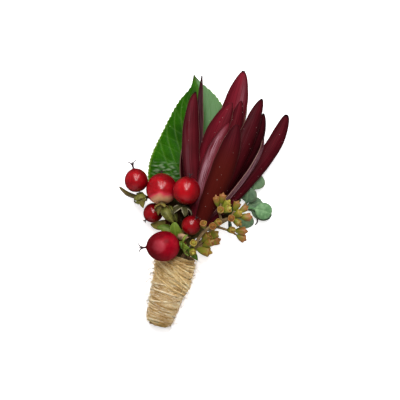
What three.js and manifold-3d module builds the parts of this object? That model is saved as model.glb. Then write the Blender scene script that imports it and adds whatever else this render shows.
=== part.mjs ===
// A boutonniere lying on its back. A dark red leucadendron head stands before one broad toothed leaf,
// with hypericum berries at the left, seeded eucalyptus at the right, round eucalyptus leaves behind,
// and jute twine wound round all the stems.
//
// Millimetres. +Z is up from the surface that it lies on, and +Y runs from the cut stems to the tip of
// the head. The origin is the middle of the flat at the back of the binding, which lies against a lapel.

import * as THREE from "three";
import { mergeVertices } from "three/addons/utils/BufferGeometryUtils.js";
import Module from "manifold-3d";

const wasm = await Module();
wasm.setup();

const TURN = 2 * Math.PI;
const Y_AXIS = new THREE.Vector3(0, 1, 0);
const CLEARANCE = 0.3; // between pieces that only touch
const FAR = 400; // longer than anything here, for cutting blocks

// Twine binding: a rough cone on its side, with its radius at places from the cut ends to the flowers
const BINDING_OUTLINE = [
  [-15.2, 5.0],
  [-11.5, 5.6],
  [-4, 6.5],
  [2, 7.2],
  [8, 8.3],
  [13, 8.5],
  [15.8, 7.7],
];
const BINDING_LOW = -15.2;
const BINDING_HIGH = 15.8;
const AXIS_LOW = 4.6; // height of its axis over the surface, so that its back is pressed flat
const AXIS_HIGH = 8.0;
const TWINE_TURNS = 14;
const TWINE_RELIEF = 0.42;
const TWINE_SLANT_LOW = 0.1;
const TWINE_SLANT_HIGH = 0.3;
const BINDING_SIDES = 18;
const BINDING_LEAN = Math.atan2(AXIS_HIGH - AXIS_LOW, BINDING_HIGH - BINDING_LOW);

// Stems: where each leaves the binding, from its axis, how thick it is, and its way on to the first fork.
// Each runs down to its cut end nearer the middle of the bundle
const CUT_END = -15.9;
const STEM_EXIT = 15.0;
const STEM_STEP = 6; // length of one facet along a stem
const STEM_GATHER = 0.72; // the bundle's spread at the cut ends over its spread at the flowers
const STEMS = {
  leucadendron: { x: 0, z: 0, radius: 1.9, beyond: [[2.6, 22, 10.4], [4.6, 27, 11]] },
  leaf: { x: -0.9, z: -3.7, radius: 0.75, beyond: [[-0.4, 20, 3.4], [0.2, 27, 3.1]] },
  berriesUpper: { x: -3.7, z: 1.2, radius: 1.0, beyond: [[-6, 22, 10.2], [-8.4, 28.6, 9.6]] },
  berriesLower: { x: -1.3, z: 3.9, radius: 0.95, beyond: [[-0.9, 18, 13.6], [-0.6, 20.6, 15.2]] },
  seedsUpper: {
    x: 2.2,
    z: 3.5,
    radius: 0.85,
    beyond: [[4.2, 19.2, 13.6], [5.9, 22.4, 15.2], [8.1, 28.2, 17], [13.6, 34.4, 18]],
  },
  seedsLower: { x: 4.0, z: 0.6, radius: 0.85, beyond: [[6.9, 20.1, 11.8]] },
  roundLeaves: {
    x: 2.9,
    z: -2.9,
    radius: 0.85,
    beyond: [[8.6, 22, 4.9], [14.6, 31, 4.2], [19.6, 38.4, 4.2], [22.2, 44.4, 4.8], [23.4, 50, 5.2]],
  },
};

// Leucadendron head
const HEAD_ROOT = new THREE.Vector3(...STEMS.leucadendron.beyond.at(-1));
const HEAD_TOP = new THREE.Vector3(6.2, 43, 11.6);
const RECEPTACLE_RADIUS = 3.1;
const BRACT_THICKNESS = 0.9;
const BRACT_CUP = 0.34;
const BRACT_WIDEST = 0.57; // how far up it is widest
const BRACT_BASE = 0.44; // its width at the base over its greatest
const BRACT_BLUNTNESS = 0.72; // the less, the rounder its tip

// Broad leaf
const LEAF_WIDTH = 41;
const LEAF_THICKNESS = 0.7;
const LEAF_DROOP = 0.15; // how far the margins fall, over half the width
const LEAF_TEETH = 20; // on each side
const TOOTH_DEPTH = 0.4;

// Hypericum
const BERRY_SIDES = 12;
const BERRY_RINGS = 8;
const SEPALS = 5;
const SEPAL_THICKNESS = 0.7;
const STYLE_RADIUS = 0.32;

// Eucalyptus
const BUD_LENGTH = 5.2;
const BUD_RADIUS = 1.7;
const BUD_RIM = 0.78; // how far up a bud its rim is
const ROUND_LEAF_THICKNESS = 0.7;

const COLOURS = {
  bract: { color: 0x56191d, roughness: 0.42 },
  leaf: { color: 0x2f650b, roughness: 0.35 },
  sprig: { color: 0x5d5a27, roughness: 0.6 },
  berry: { color: 0x97030e, roughness: 0.18 },
  bud: { color: 0x97733f, roughness: 0.55 },
  roundLeaf: { color: 0x667158, roughness: 0.65 },
  twine: { color: 0xc1a472, roughness: 0.95 },
};

// Solids

const point = (x, y, z) => new THREE.Vector3(x, y, z);

/** A closed geometry as a solid, turned face out. */
function solidOf(geometry) {
  geometry.deleteAttribute("normal");
  geometry.deleteAttribute("uv");
  const merged = mergeVertices(geometry, 1e-4);
  const vertProperties = merged.attributes.position.array;
  const triVerts = new Uint32Array(merged.index.array);
  const made = new wasm.Manifold(new wasm.Mesh({ numProp: 3, vertProperties, triVerts }));
  if (made.volume() > 0) return made;
  for (let i = 0; i < triVerts.length; i += 3) {
    [triVerts[i + 1], triVerts[i + 2]] = [triVerts[i + 2], triVerts[i + 1]];
  }
  return new wasm.Manifold(new wasm.Mesh({ numProp: 3, vertProperties, triVerts }));
}

/** Several solids grown together as one. */
const fused = (solids) => solids.reduce((whole, next) => whole.add(next));

/** What is left of a solid above the surface that it lies on. */
function aboveSurface(solid) {
  const block = new THREE.BoxGeometry(FAR, FAR, FAR).translate(0, 0, FAR / 2);
  return solid.intersect(solidOf(block));
}

/** The one body that holds most of a solid, without the crumbs of a cut. */
function largestBody(solid) {
  const bodies = solid.decompose();
  return bodies.reduce((best, next) => (next.volume() > best.volume() ? next : best));
}

/** The named mesh of a solid, in its own colour. */
function meshOf(name, solid, look) {
  const { numProp, numVert, vertProperties, triVerts } = largestBody(solid).getMesh();
  const places = new Float32Array(numVert * 3);
  for (let i = 0; i < numVert; i++) {
    places.set(vertProperties.subarray(i * numProp, i * numProp + 3), i * 3);
  }
  const geometry = new THREE.BufferGeometry();
  geometry.setAttribute("position", new THREE.BufferAttribute(places, 3));
  geometry.setIndex(new THREE.BufferAttribute(triVerts, 1));
  geometry.computeVertexNormals();
  const material = new THREE.MeshStandardMaterial({ ...look, metalness: 0 });
  const mesh = new THREE.Mesh(geometry, material);
  mesh.name = name;
  return mesh;
}

/** The value at a place, read between [place, value] pairs. */
function between(pairs, place) {
  let i = 1;
  while (i < pairs.length - 1 && pairs[i][0] < place) i++;
  const [from, to] = [pairs[i - 1], pairs[i]];
  return THREE.MathUtils.mapLinear(place, from[0], to[0], from[1], to[1]);
}

/** A round stem along a smooth curve through the points. */
function stem(points, radius, sides = 6) {
  const curve = new THREE.CatmullRomCurve3(points);
  const corners = [];
  for (let i = 0; i < sides; i++) {
    const angle = (i * TURN) / sides;
    corners.push(new THREE.Vector2(radius * Math.cos(angle), radius * Math.sin(angle)));
  }
  const steps = Math.max(2, Math.round(curve.getLength() / STEM_STEP));
  return solidOf(new THREE.ExtrudeGeometry(new THREE.Shape(corners), { steps, extrudePath: curve }));
}

/** A turned form about its own +Y, set at a place and leaned along a direction. */
function turned(profile, sides, place, direction) {
  const outline = profile.map(([radius, height]) => new THREE.Vector2(radius, height));
  const geometry = new THREE.LatheGeometry(outline, sides);
  geometry.applyQuaternion(
    new THREE.Quaternion().setFromUnitVectors(Y_AXIS, direction.clone().normalize()),
  );
  geometry.translate(place.x, place.y, place.z);
  return solidOf(geometry);
}

/**
 * A leaf-like blade along a spine.
 * faces is the way its upper side looks, and outline gives its half width from base to tip over width / 2.
 * cup bends its edges back, and rib thickens it under its midrib. across and along count its faces, and
 * crowd draws their rows together towards the tip. tooth gives how far the margin stands out at a row.
 */
function blade({ spine, faces, width, thickness, outline, ...more }) {
  const { cup = 0, rib = 0, across = 4, along = 7, crowd = 1, tooth = () => 0 } = more;
  const geometry = new THREE.BoxGeometry(2, 1, 1, across, along, 1);
  const places = geometry.attributes.position;
  for (let i = 0; i < places.count; i++) {
    const u = places.getX(i);
    const t = 1 - Math.pow(0.5 - places.getY(i), crowd);
    const layer = places.getZ(i);
    const tangent = spine.getTangentAt(t);
    const side = new THREE.Vector3().crossVectors(tangent, faces).normalize();
    const up = new THREE.Vector3().crossVectors(side, tangent).normalize();
    const half = (width / 2) * outline(t);
    const margin = Math.abs(u) > 0.99 ? tooth(t) : 0;
    const slope = up.clone().addScaledVector(side, 2 * cup * u).normalize();
    const ribbed = layer < 0 && Math.abs(u) < 0.01 ? rib : 0;
    const place = spine
      .getPointAt(t)
      .addScaledVector(side, u * (half + margin))
      .addScaledVector(up, -cup * half * u * u)
      .addScaledVector(slope, layer * (thickness + ribbed));
    places.setXYZ(i, place.x, place.y, place.z);
  }
  return solidOf(geometry);
}

/** A bent line from root to tip that passes through middle. */
function bow(root, middle, tip) {
  const control = middle.clone().multiplyScalar(2).addScaledVector(root.clone().add(tip), -0.5);
  return new THREE.QuadraticBezierCurve3(root, control, tip);
}

/** Directions evenly round an axis, starting from a phase, leaned towards the axis by lift. */
function whorl(axis, count, lift, phase = 0) {
  const along = axis.clone().normalize();
  const helper = Math.abs(along.z) < 0.9 ? point(0, 0, 1) : point(1, 0, 0);
  const first = new THREE.Vector3().crossVectors(along, helper).normalize();
  return Array.from({ length: count }, (_, i) =>
    first
      .clone()
      .applyAxisAngle(along, phase + (i * TURN) / count)
      .addScaledVector(along, lift)
      .normalize(),
  );
}

// Stems and their binding

/** The height of the binding's axis above the surface, at a place along it. */
function bindingAxis(y) {
  return THREE.MathUtils.mapLinear(y, BINDING_LOW, BINDING_HIGH, AXIS_LOW, AXIS_HIGH);
}

/** A plant's stem from its cut end, up through the binding and on to its first fork, or the hole for it. */
function plantStem(name, clearance = 0) {
  const { x, z, radius, beyond } = STEMS[name];
  const places = [0, 1 / 3, 2 / 3, 1].map((share) => {
    const y = THREE.MathUtils.lerp(CUT_END, STEM_EXIT, share);
    const spread = THREE.MathUtils.lerp(STEM_GATHER, 1, share);
    return point(x * spread, y, bindingAxis(y) + z * spread);
  });
  return stem([...places, ...beyond.map((place) => point(...place))], radius + clearance, 6);
}

/** The place where a plant's stem ends or forks. */
const forkOf = (name) => point(...STEMS[name].beyond.at(-1));

/** The binding: slanting turns of twine, a flat at the back, and a plain hole for each stem. */
function twineBinding() {
  const length = BINDING_HIGH - BINDING_LOW;
  const profile = [new THREE.Vector2(0, BINDING_LOW)];
  for (let i = 0; i <= TWINE_TURNS * 2; i++) {
    const y = BINDING_LOW + (i * length) / (TWINE_TURNS * 2);
    const valley = i % 2 === 0 ? TWINE_RELIEF : 0;
    profile.push(new THREE.Vector2(between(BINDING_OUTLINE, y) - valley, y));
  }
  profile.push(new THREE.Vector2(0, BINDING_HIGH));
  const geometry = new THREE.LatheGeometry(profile, BINDING_SIDES);
  const places = geometry.attributes.position;
  for (let i = 0; i < places.count; i++) {
    const share = (places.getY(i) - BINDING_LOW) / length;
    const slant = THREE.MathUtils.lerp(TWINE_SLANT_LOW, TWINE_SLANT_HIGH, share);
    const hold = Math.min(1, 8 * share, 8 * (1 - share)); // both ends stay square
    places.setY(i, places.getY(i) - places.getX(i) * slant * hold);
  }
  geometry.rotateX(BINDING_LEAN);
  geometry.translate(0, 0, bindingAxis(0));
  const holes = Object.keys(STEMS).map((name) => plantStem(name, CLEARANCE));
  return aboveSurface(solidOf(geometry)).subtract(fused(holes));
}

// Leucadendron: long cupped bracts that rise from one receptacle, from the front one to those at the back
// root is the share of the way up the receptacle, and looks is the way that the outside faces

const BRACTS = [
  { root: 0.05, middle: [8.3, 53, 19.6], tip: [8.8, 74.2, 20], width: 9.8, looks: [0.1, 0, 1] },
  { root: 0.15, middle: [1.9, 54, 17.3], tip: [5.6, 74, 17.8], width: 8, looks: [-0.45, 0, 0.9] },
  { root: 0.5, middle: [1.0, 62, 14.9], tip: [4.5, 82.8, 14.8], width: 10.4, looks: [-0.3, 0, 1] },
  { root: 0.7, middle: [8.2, 64, 15.4], tip: [7.7, 84.6, 13.8], width: 7.4, looks: [0.1, 0, 1] },
  { root: 0.9, middle: [6.2, 72, 10.8], tip: [5.3, 97.3, 10.6], width: 11.2, looks: [0, 0, 1] },
  { root: 0.2, middle: [12.9, 60, 16.6], tip: [16, 87.8, 14.2], width: 8.8, looks: [0.35, 0, 1] },
  { root: 0.6, middle: [16.9, 63, 11.6], tip: [17.5, 82.4, 11], width: 7, looks: [0.75, 0, 0.65] },
  { root: 0.1, middle: [19.4, 56.3, 13.6], tip: [21, 72.1, 14.6], width: 7.2, looks: [1, -0.2, 0.14] },
  { root: 0, middle: [22.7, 60.2, 9.8], tip: [27.9, 84.7, 9.6], width: 7.1, widest: 0.7, looks: [0.2, 0, 1] },
  { root: 0.1, middle: [-7.8, 62, 13.8], tip: [-11.5, 83.1, 13.6], width: 7.6, looks: [-0.15, 0, 1] },
  { root: 0.45, middle: [-6.6, 69, 9.2], tip: [-10.9, 90.6, 9.8], width: 7, looks: [-1, 0, 0.12] },
  { root: 0.1, middle: [-7.4, 52, 8.6], tip: [-8.2, 69, 8.6], width: 7, looks: [-0.6, 0, -0.8] },
  { root: 0.3, middle: [1.2, 58, 6.2], tip: [2.6, 77, 6.8], width: 9, looks: [-0.3, 0, -0.95] },
  { root: 0.6, middle: [7.4, 64, 5.7], tip: [8, 89, 6.8], width: 10, looks: [0, 0, -1] },
  { root: 0.35, middle: [14, 57, 6.4], tip: [14.6, 79, 7.4], width: 9, looks: [0.3, 0, -0.95] },
  { root: 0.05, middle: [15.8, 50, 7.6], tip: [19.4, 69, 8], width: 7.6, looks: [0.55, 0, -0.85] },
];

/** A bract's half width: narrow at the base, widest past the middle, drawn in to a blunt tip. */
function bractOutline(t, widest = BRACT_WIDEST) {
  if (t < widest) return THREE.MathUtils.lerp(BRACT_BASE, 1, Math.sin((t / widest) * (Math.PI / 2)));
  const beyond = (t - widest) / (1 - widest);
  return Math.max(0.07, Math.pow(1 - beyond * beyond, BRACT_BLUNTNESS));
}

function leucadendron() {
  const axis = HEAD_TOP.clone().sub(HEAD_ROOT);
  const receptacle = turned(
    [
      [0, -2.5],
      [STEMS.leucadendron.radius, -2],
      [RECEPTACLE_RADIUS, 3],
      [RECEPTACLE_RADIUS, 11],
      [1.2, 20],
      [0, 21],
    ],
    7,
    HEAD_ROOT,
    axis,
  );
  const bracts = BRACTS.map(({ root, middle, tip, width, widest, looks }) => {
    const faces = point(...looks).normalize();
    const front = looks[2] > 0;
    const start = HEAD_ROOT.clone().lerp(HEAD_TOP, root).addScaledVector(faces, 1.4);
    return blade({
      spine: bow(start, point(...middle), point(...tip)),
      faces,
      width,
      thickness: BRACT_THICKNESS,
      outline: (t) => bractOutline(t, widest),
      cup: BRACT_CUP,
      rib: 0.3,
      across: front ? 4 : 2,
      along: front ? 6 : 4,
      crowd: 1.5,
    });
  });
  return fused([plantStem("leucadendron"), receptacle, ...bracts]);
}

// Broad leaf: ovate, finely toothed, hooked at the tip, drooping to the surface at both margins

const LEAF_SPINE = [
  point(0.3, 24, 3.3),
  point(-0.3, 42, 3.3),
  point(-2.7, 60.4, 3.2),
  point(-7.5, 76, 2.3),
  point(-10.8, 85, 1.3),
  point(-14, 89.8, 1.0),
];

/** The leaf's half width: round at the base, widest below the middle, drawn out to a fine tip. */
function leafOutline(t) {
  return Math.max(0.03, Math.pow(Math.max(0, Math.sin(Math.PI * Math.pow(t, 0.72))), 0.9));
}

function broadLeaf() {
  const rows = LEAF_TEETH * 2;
  const lamina = blade({
    spine: new THREE.CatmullRomCurve3(LEAF_SPINE),
    faces: point(0, 0, 1),
    width: LEAF_WIDTH,
    thickness: LEAF_THICKNESS,
    outline: leafOutline,
    cup: LEAF_DROOP,
    rib: 1.2,
    along: rows,
    tooth: (t) => (t > 0.05 && t < 0.95 && Math.round(t * rows) % 2 ? TOOTH_DEPTH : 0),
  });
  return aboveSurface(fused([plantStem("leaf"), lamina]));
}

// Hypericum: ovoid berries, each seated on a calyx of reflexed sepals at the end of a stalk
// axis points from the stalk to the beak, and radii are across it and along it. styles and sepal are lengths

const BERRIES = [
  { centre: [-25.3, 40.9, 11.6], radii: [4.8, 4.8], axis: [-0.48, 0.87, 0.1], styles: 3.4, sepal: 4.4 },
  { centre: [-14, 40.2, 13.7], radii: [6.5, 6.6], axis: [-0.25, 0.85, -0.4], styles: 2, sepal: 6.2 },
  { centre: [-3.7, 42.4, 20.4], radii: [5.7, 5.8], axis: [-0.05, 0.94, 0.33], styles: 1.6, sepal: 5.6 },
  { centre: [-14.8, 29.4, 9.2], radii: [4.1, 4.2], axis: [-0.45, -0.8, 0.35], styles: 1.2, sepal: 2 },
  { centre: [2.1, 29.1, 19.2], radii: [4, 4.1], axis: [0.25, 0.75, 0.6], styles: 1, sepal: 3.4 },
  { centre: [-6.7, 17.6, 21.3], radii: [6.3, 6.9], axis: [-0.94, -0.34, 0.05], styles: 3.4, sepal: 5 },
].map(({ centre, axis, ...more }) => ({
  centre: point(...centre),
  axis: point(...axis).normalize(),
  ...more,
}));

/** The place where a berry is seated on its calyx. */
const seatOf = ({ centre, axis, radii }) => centre.clone().addScaledVector(axis, -radii[1]);

function berry(sort) {
  const { centre, axis, styles } = sort;
  const [radius, halfLength] = sort.radii;
  const profile = [];
  for (let i = 0; i < BERRY_RINGS; i++) {
    const angle = -Math.PI / 2 + (Math.PI * i) / BERRY_RINGS;
    profile.push([radius * Math.cos(angle) * (1 - 0.05 * Math.sin(angle)), halfLength * Math.sin(angle)]);
  }
  profile[0][0] = 0;
  profile.push([0.55, halfLength], [0.42, halfLength + 0.8], [0, halfLength + 0.9]);
  const body = turned(profile, BERRY_SIDES, centre, axis);
  const beak = centre.clone().addScaledVector(axis, halfLength + 0.4);
  const arms = whorl(axis, 3, 0.5, 0.6).map((out) =>
    stem(
      [
        beak,
        beak.clone().addScaledVector(axis, styles * 0.45).addScaledVector(out, styles * 0.1),
        beak.clone().addScaledVector(axis, styles * 0.55).addScaledVector(out, styles * 0.7),
      ],
      STYLE_RADIUS,
      3,
    ),
  );
  return fused([body, ...arms]);
}

/** The cup under a berry with its sepals, which bend back from the berry. */
function calyx(sort, phase) {
  const { axis, sepal } = sort;
  const radius = sort.radii[0];
  const seat = seatOf(sort);
  const cup = turned(
    [
      [0, -CLEARANCE - 1.9],
      [0.7, -CLEARANCE - 1.8],
      [radius * 0.26, -CLEARANCE - 0.55],
      [radius * 0.24, -CLEARANCE],
      [0, -CLEARANCE],
    ],
    6,
    seat,
    axis,
  );
  const sepals = whorl(axis, SEPALS, 0, phase).map((out) => {
    const start = seat.clone().addScaledVector(axis, -CLEARANCE - 0.8).addScaledVector(out, radius * 0.14);
    const middle = start.clone().addScaledVector(out, sepal * 0.5).addScaledVector(axis, -0.12 * sepal);
    const tip = start.clone().addScaledVector(out, sepal * 0.82).addScaledVector(axis, -0.5 * sepal);
    return blade({
      spine: bow(start, middle, tip),
      faces: axis,
      width: sepal * 0.5,
      thickness: SEPAL_THICKNESS,
      outline: (t) => Math.max(0.12, Math.sin(Math.PI * Math.min(0.97, 0.14 + 0.86 * t))),
      cup: 0.25,
      across: 2,
      along: 3,
    });
  });
  return fused([cup, ...sepals]);
}

/** A stalk that ends under a berry's calyx. */
function stalkTo(sort, points, radius = 0.62) {
  const foot = seatOf(sort).addScaledVector(sort.axis, -CLEARANCE - 1.2);
  return stem([...points, foot], radius, 4);
}

/** A small leaf of a sprig. */
function leaflet({ spine, width, looks }) {
  return blade({
    spine: bow(...spine.map((place) => point(...place))),
    faces: point(...looks).normalize(),
    width,
    thickness: SEPAL_THICKNESS,
    outline: (t) => Math.max(0.1, Math.sin(Math.PI * Math.min(0.97, 0.1 + 0.88 * t))),
    cup: 0.25,
    across: 2,
    along: 5,
  });
}

const UPPER_FORK = forkOf("berriesUpper");
const LOWER_FORK = forkOf("berriesLower");

const UPPER_LEAFLETS = [
  { spine: [[-22, 34.6, 9.6], [-26.4, 34.2, 10.4], [-30.6, 36.4, 10.8]], width: 1.7, looks: [0, 0.6, 1] },
  { spine: [[-8, 27, 9.2], [-11.4, 24.8, 6.8], [-15, 24, 5.6]], width: 4, looks: [-0.2, 0.2, 1] },
  { spine: [[-9.4, 31, 11], [-8.2, 31.6, 15.2], [-5.4, 28.6, 16.6]], width: 4.2, looks: [0.2, 0.5, 1] },
];

const LOWER_LEAFLETS = [
  { spine: [[-1.4, 20.4, 13.6], [-3.6, 24, 17], [-5, 28.4, 17.6]], width: 4.2, looks: [-0.2, 0.2, 1] },
  { spine: [[-1.6, 19.4, 13.4], [-5.6, 23.2, 13.2], [-9.8, 25.8, 13.2]], width: 4.6, looks: [0, 0.2, 1] },
  { spine: [[0.2, 20.6, 15.2], [1, 20.8, 17.6], [2.6, 17.6, 20]], width: 3, looks: [0.6, 0.4, 0.6] },
];

function berrySprigUpper() {
  const [first, second, third, fourth] = BERRIES;
  const outer = point(-15.8, 35, 7.4);
  return fused([
    plantStem("berriesUpper"),
    stalkTo(first, [UPPER_FORK, point(-10.6, 32.6, 8.2), outer]),
    stalkTo(second, [UPPER_FORK, point(-9.6, 31.4, 12.6)]),
    stalkTo(third, [UPPER_FORK, point(-6.6, 31.8, 13.4)]),
    stalkTo(fourth, [UPPER_FORK, point(-10.2, 31.6, 8.4)]),
    calyx(first, 0.4),
    calyx(second, 0.1),
    calyx(third, 0.1),
    calyx(fourth, 0.9),
    ...UPPER_LEAFLETS.map(leaflet),
  ]);
}

function berrySprigLower() {
  const fifth = BERRIES[4];
  const sixth = BERRIES[5];
  return fused([
    plantStem("berriesLower"),
    stalkTo(fifth, [LOWER_FORK, point(0, 23, 15.6)]),
    stalkTo(sixth, [LOWER_FORK, point(1, 21.4, 18.4), point(1.8, 20.9, 20.4)]),
    calyx(fifth, 0.2),
    calyx(sixth, 0.7),
    ...LOWER_LEAFLETS.map(leaflet),
  ]);
}

// Seeded eucalyptus: umbels of urn-shaped buds, each bud at the end of its own stalk
// twig ends where the stalks of an umbel meet, and each bud is given by the middle of its rim

const UPPER_UMBELS = [
  { twig: [[4.9, 20.6, 14.3]], buds: [[5, 22.4, 18.8], [6, 18.1, 17.8]] },
  { twig: [[8.1, 28.2, 17]], buds: [[6.6, 31.4, 22.6]] },
  { twig: [[9.6, 29.6, 17.3], [10.6, 31.4, 17.6]], buds: [[10.7, 31.2, 22], [12.9, 33.8, 20.8]] },
  {
    twig: [[13.6, 34.4, 18], [11.8, 37.2, 19.4]],
    buds: [[8.8, 42.9, 21.2], [11.2, 45, 20.4], [11.9, 38.7, 24], [14.2, 42.5, 19.8], [15.4, 40.2, 22]],
  },
  {
    twig: [[13.6, 34.4, 18], [17, 36.6, 17]],
    buds: [[18.1, 43.6, 17.6], [22, 42.4, 16], [24.6, 39, 15.6]],
  },
  {
    twig: [[17, 36.6, 17]],
    buds: [[20.3, 39.9, 19], [17.2, 36.4, 22], [21.2, 35.1, 18]],
  },
  {
    twig: [[10.6, 31, 17.4], [13.8, 31.3, 16], [17.2, 31.2, 14.6]],
    buds: [[19.4, 31.9, 17.6], [24.4, 32.7, 14.4], [25.3, 29.4, 13.2]],
  },
];

const LOWER_UMBELS = [
  {
    twig: [[6.9, 20.1, 11.8]],
    buds: [[10.2, 27.4, 14.8], [13.3, 29, 12.2], [14.9, 26.3, 11.4], [12.2, 24.8, 15.2], [12.7, 19.8, 12.6]],
  },
];

/** One bud with its stalk: a cup that swells to a rim, closed by a pointed cap. */
function bud(knot, rim) {
  const direction = rim.clone().sub(knot).normalize();
  const foot = rim.clone().addScaledVector(direction, -BUD_RIM * BUD_LENGTH);
  const body = turned(
    [
      [0, -0.3],
      [0.42, 0],
      [0.8 * BUD_RADIUS, 0.42 * BUD_LENGTH],
      [BUD_RADIUS, BUD_RIM * BUD_LENGTH],
      [0.55 * BUD_RADIUS, 0.9 * BUD_LENGTH],
      [0, BUD_LENGTH],
    ],
    6,
    foot,
    direction,
  );
  if (foot.distanceTo(knot) < 0.8) return body;
  return body.add(stem([knot, foot.clone().addScaledVector(direction, 0.4)], 0.42, 4));
}

function seedSprig(name, umbels) {
  const parts = [plantStem(name)];
  for (const { twig, buds } of umbels) {
    const route = twig.map((place) => point(...place));
    if (route.length > 1) parts.push(stem(route, 0.5, 5));
    parts.push(...buds.map((rim) => bud(route.at(-1), point(...rim))));
  }
  return fused(parts);
}

// Round eucalyptus leaves in pairs on one stem

const ROUND_LEAVES = [
  { spine: [[23.2, 49.6, 5.1], [23.4, 53.8, 6], [24.2, 57.6, 5.4]], width: 8, looks: [0.1, -0.2, 1] },
  { spine: [[22, 44, 4.8], [22.2, 47.2, 7], [21.4, 50.8, 6.8]], width: 7.8, looks: [-0.3, -0.1, 1] },
  { spine: [[21.8, 42.6, 4.6], [29.2, 43, 5.2], [33.5, 41.6, 3.6]], width: 7.8, looks: [0.15, 0, 1] },
  { spine: [[22, 43.2, 4.6], [25.6, 44.8, 2.8], [28, 47, 1.8]], width: 5.4, looks: [0.2, 0.3, 1] },
  { spine: [[19, 37.6, 4.2], [24.6, 36.4, 2.2], [27.6, 34.6, 0.2]], width: 7, looks: [0.2, -0.2, 1] },
  { spine: [[17.8, 35.8, 4.2], [17.8, 34, 6.8], [18.4, 31.4, 8]], width: 3, looks: [0.8, 0, 0.6] },
];

/** A round leaf's half width: a short stalk, then nearly a circle. */
function roundOutline(t) {
  return Math.max(0.14, Math.sqrt(Math.max(0, 1 - Math.pow(Math.abs(t - 0.58) / 0.43, 2.2))));
}

function roundLeafSprig() {
  const leaves = ROUND_LEAVES.map(({ spine, width, looks }) =>
    blade({
      spine: bow(...spine.map((place) => point(...place))),
      faces: point(...looks).normalize(),
      width,
      thickness: ROUND_LEAF_THICKNESS,
      outline: roundOutline,
      cup: 0.12,
      rib: 0.2,
      across: 2,
    }),
  );
  return aboveSurface(fused([plantStem("roundLeaves"), ...leaves]));
}

const boutonniere = new THREE.Group();
boutonniere.add(meshOf("twine_binding", twineBinding(), COLOURS.twine));
boutonniere.add(meshOf("leucadendron_head", leucadendron(), COLOURS.bract));
boutonniere.add(meshOf("broad_leaf", broadLeaf(), COLOURS.leaf));
boutonniere.add(meshOf("hypericum_sprig_upper", berrySprigUpper(), COLOURS.sprig));
boutonniere.add(meshOf("hypericum_sprig_lower", berrySprigLower(), COLOURS.sprig));
BERRIES.forEach((sort, i) => {
  boutonniere.add(meshOf(`hypericum_berry_${i + 1}`, berry(sort), COLOURS.berry));
});
boutonniere.add(meshOf("eucalyptus_seeds_upper", seedSprig("seedsUpper", UPPER_UMBELS), COLOURS.bud));
boutonniere.add(meshOf("eucalyptus_seeds_lower", seedSprig("seedsLower", LOWER_UMBELS), COLOURS.bud));
boutonniere.add(meshOf("eucalyptus_leaves", roundLeafSprig(), COLOURS.roundLeaf));

export default boutonniere;
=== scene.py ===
"""A boutonniere lying on its back: plants and jute twine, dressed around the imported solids.

Lengths are millimetres until a mesh is written, in the solids' own frame: +Z up from the surface,
+Y from the cut stems to the tip of the head.
"""

import logging
import math
from dataclasses import dataclass, field
from enum import Enum
from typing import Callable, Iterable, Sequence

import bpy
import numpy as np
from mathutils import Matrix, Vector, noise


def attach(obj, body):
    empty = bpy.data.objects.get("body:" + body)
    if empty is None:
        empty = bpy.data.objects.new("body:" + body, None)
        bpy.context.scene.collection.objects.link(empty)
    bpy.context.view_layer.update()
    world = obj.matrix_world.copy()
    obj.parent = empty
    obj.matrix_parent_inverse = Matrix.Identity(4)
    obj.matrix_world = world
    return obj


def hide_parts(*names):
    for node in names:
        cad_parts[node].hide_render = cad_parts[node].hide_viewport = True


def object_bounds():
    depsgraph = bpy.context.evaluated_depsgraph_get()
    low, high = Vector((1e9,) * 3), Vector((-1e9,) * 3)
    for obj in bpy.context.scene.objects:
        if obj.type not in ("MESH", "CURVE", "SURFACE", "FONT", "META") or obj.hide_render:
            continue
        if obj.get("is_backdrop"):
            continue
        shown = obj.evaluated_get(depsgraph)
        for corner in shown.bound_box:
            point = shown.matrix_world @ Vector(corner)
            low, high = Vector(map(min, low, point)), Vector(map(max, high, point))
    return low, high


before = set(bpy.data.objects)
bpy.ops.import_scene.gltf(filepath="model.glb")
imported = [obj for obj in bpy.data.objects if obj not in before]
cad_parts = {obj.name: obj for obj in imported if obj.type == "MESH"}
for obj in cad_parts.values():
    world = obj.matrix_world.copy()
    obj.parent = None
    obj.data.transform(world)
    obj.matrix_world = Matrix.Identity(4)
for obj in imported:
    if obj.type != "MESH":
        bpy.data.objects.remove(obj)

CAD_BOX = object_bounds()
LOG = logging.getLogger("boutonniere")
MM = 0.001
BODY = "root"
UV_TWINE_MM = 3000.0  # the length of twine that one unit of its UV map stands for
HEADING_SPAN = 0.012  # the share of a line, to each side, over which its direction is taken

Triple = tuple[float, float, float]
Numbers = Sequence[float]
Piece = bpy.types.Object
Material = bpy.types.Material
Tree = bpy.types.NodeTree
Socket = bpy.types.NodeSocket


# Lines through space


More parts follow.
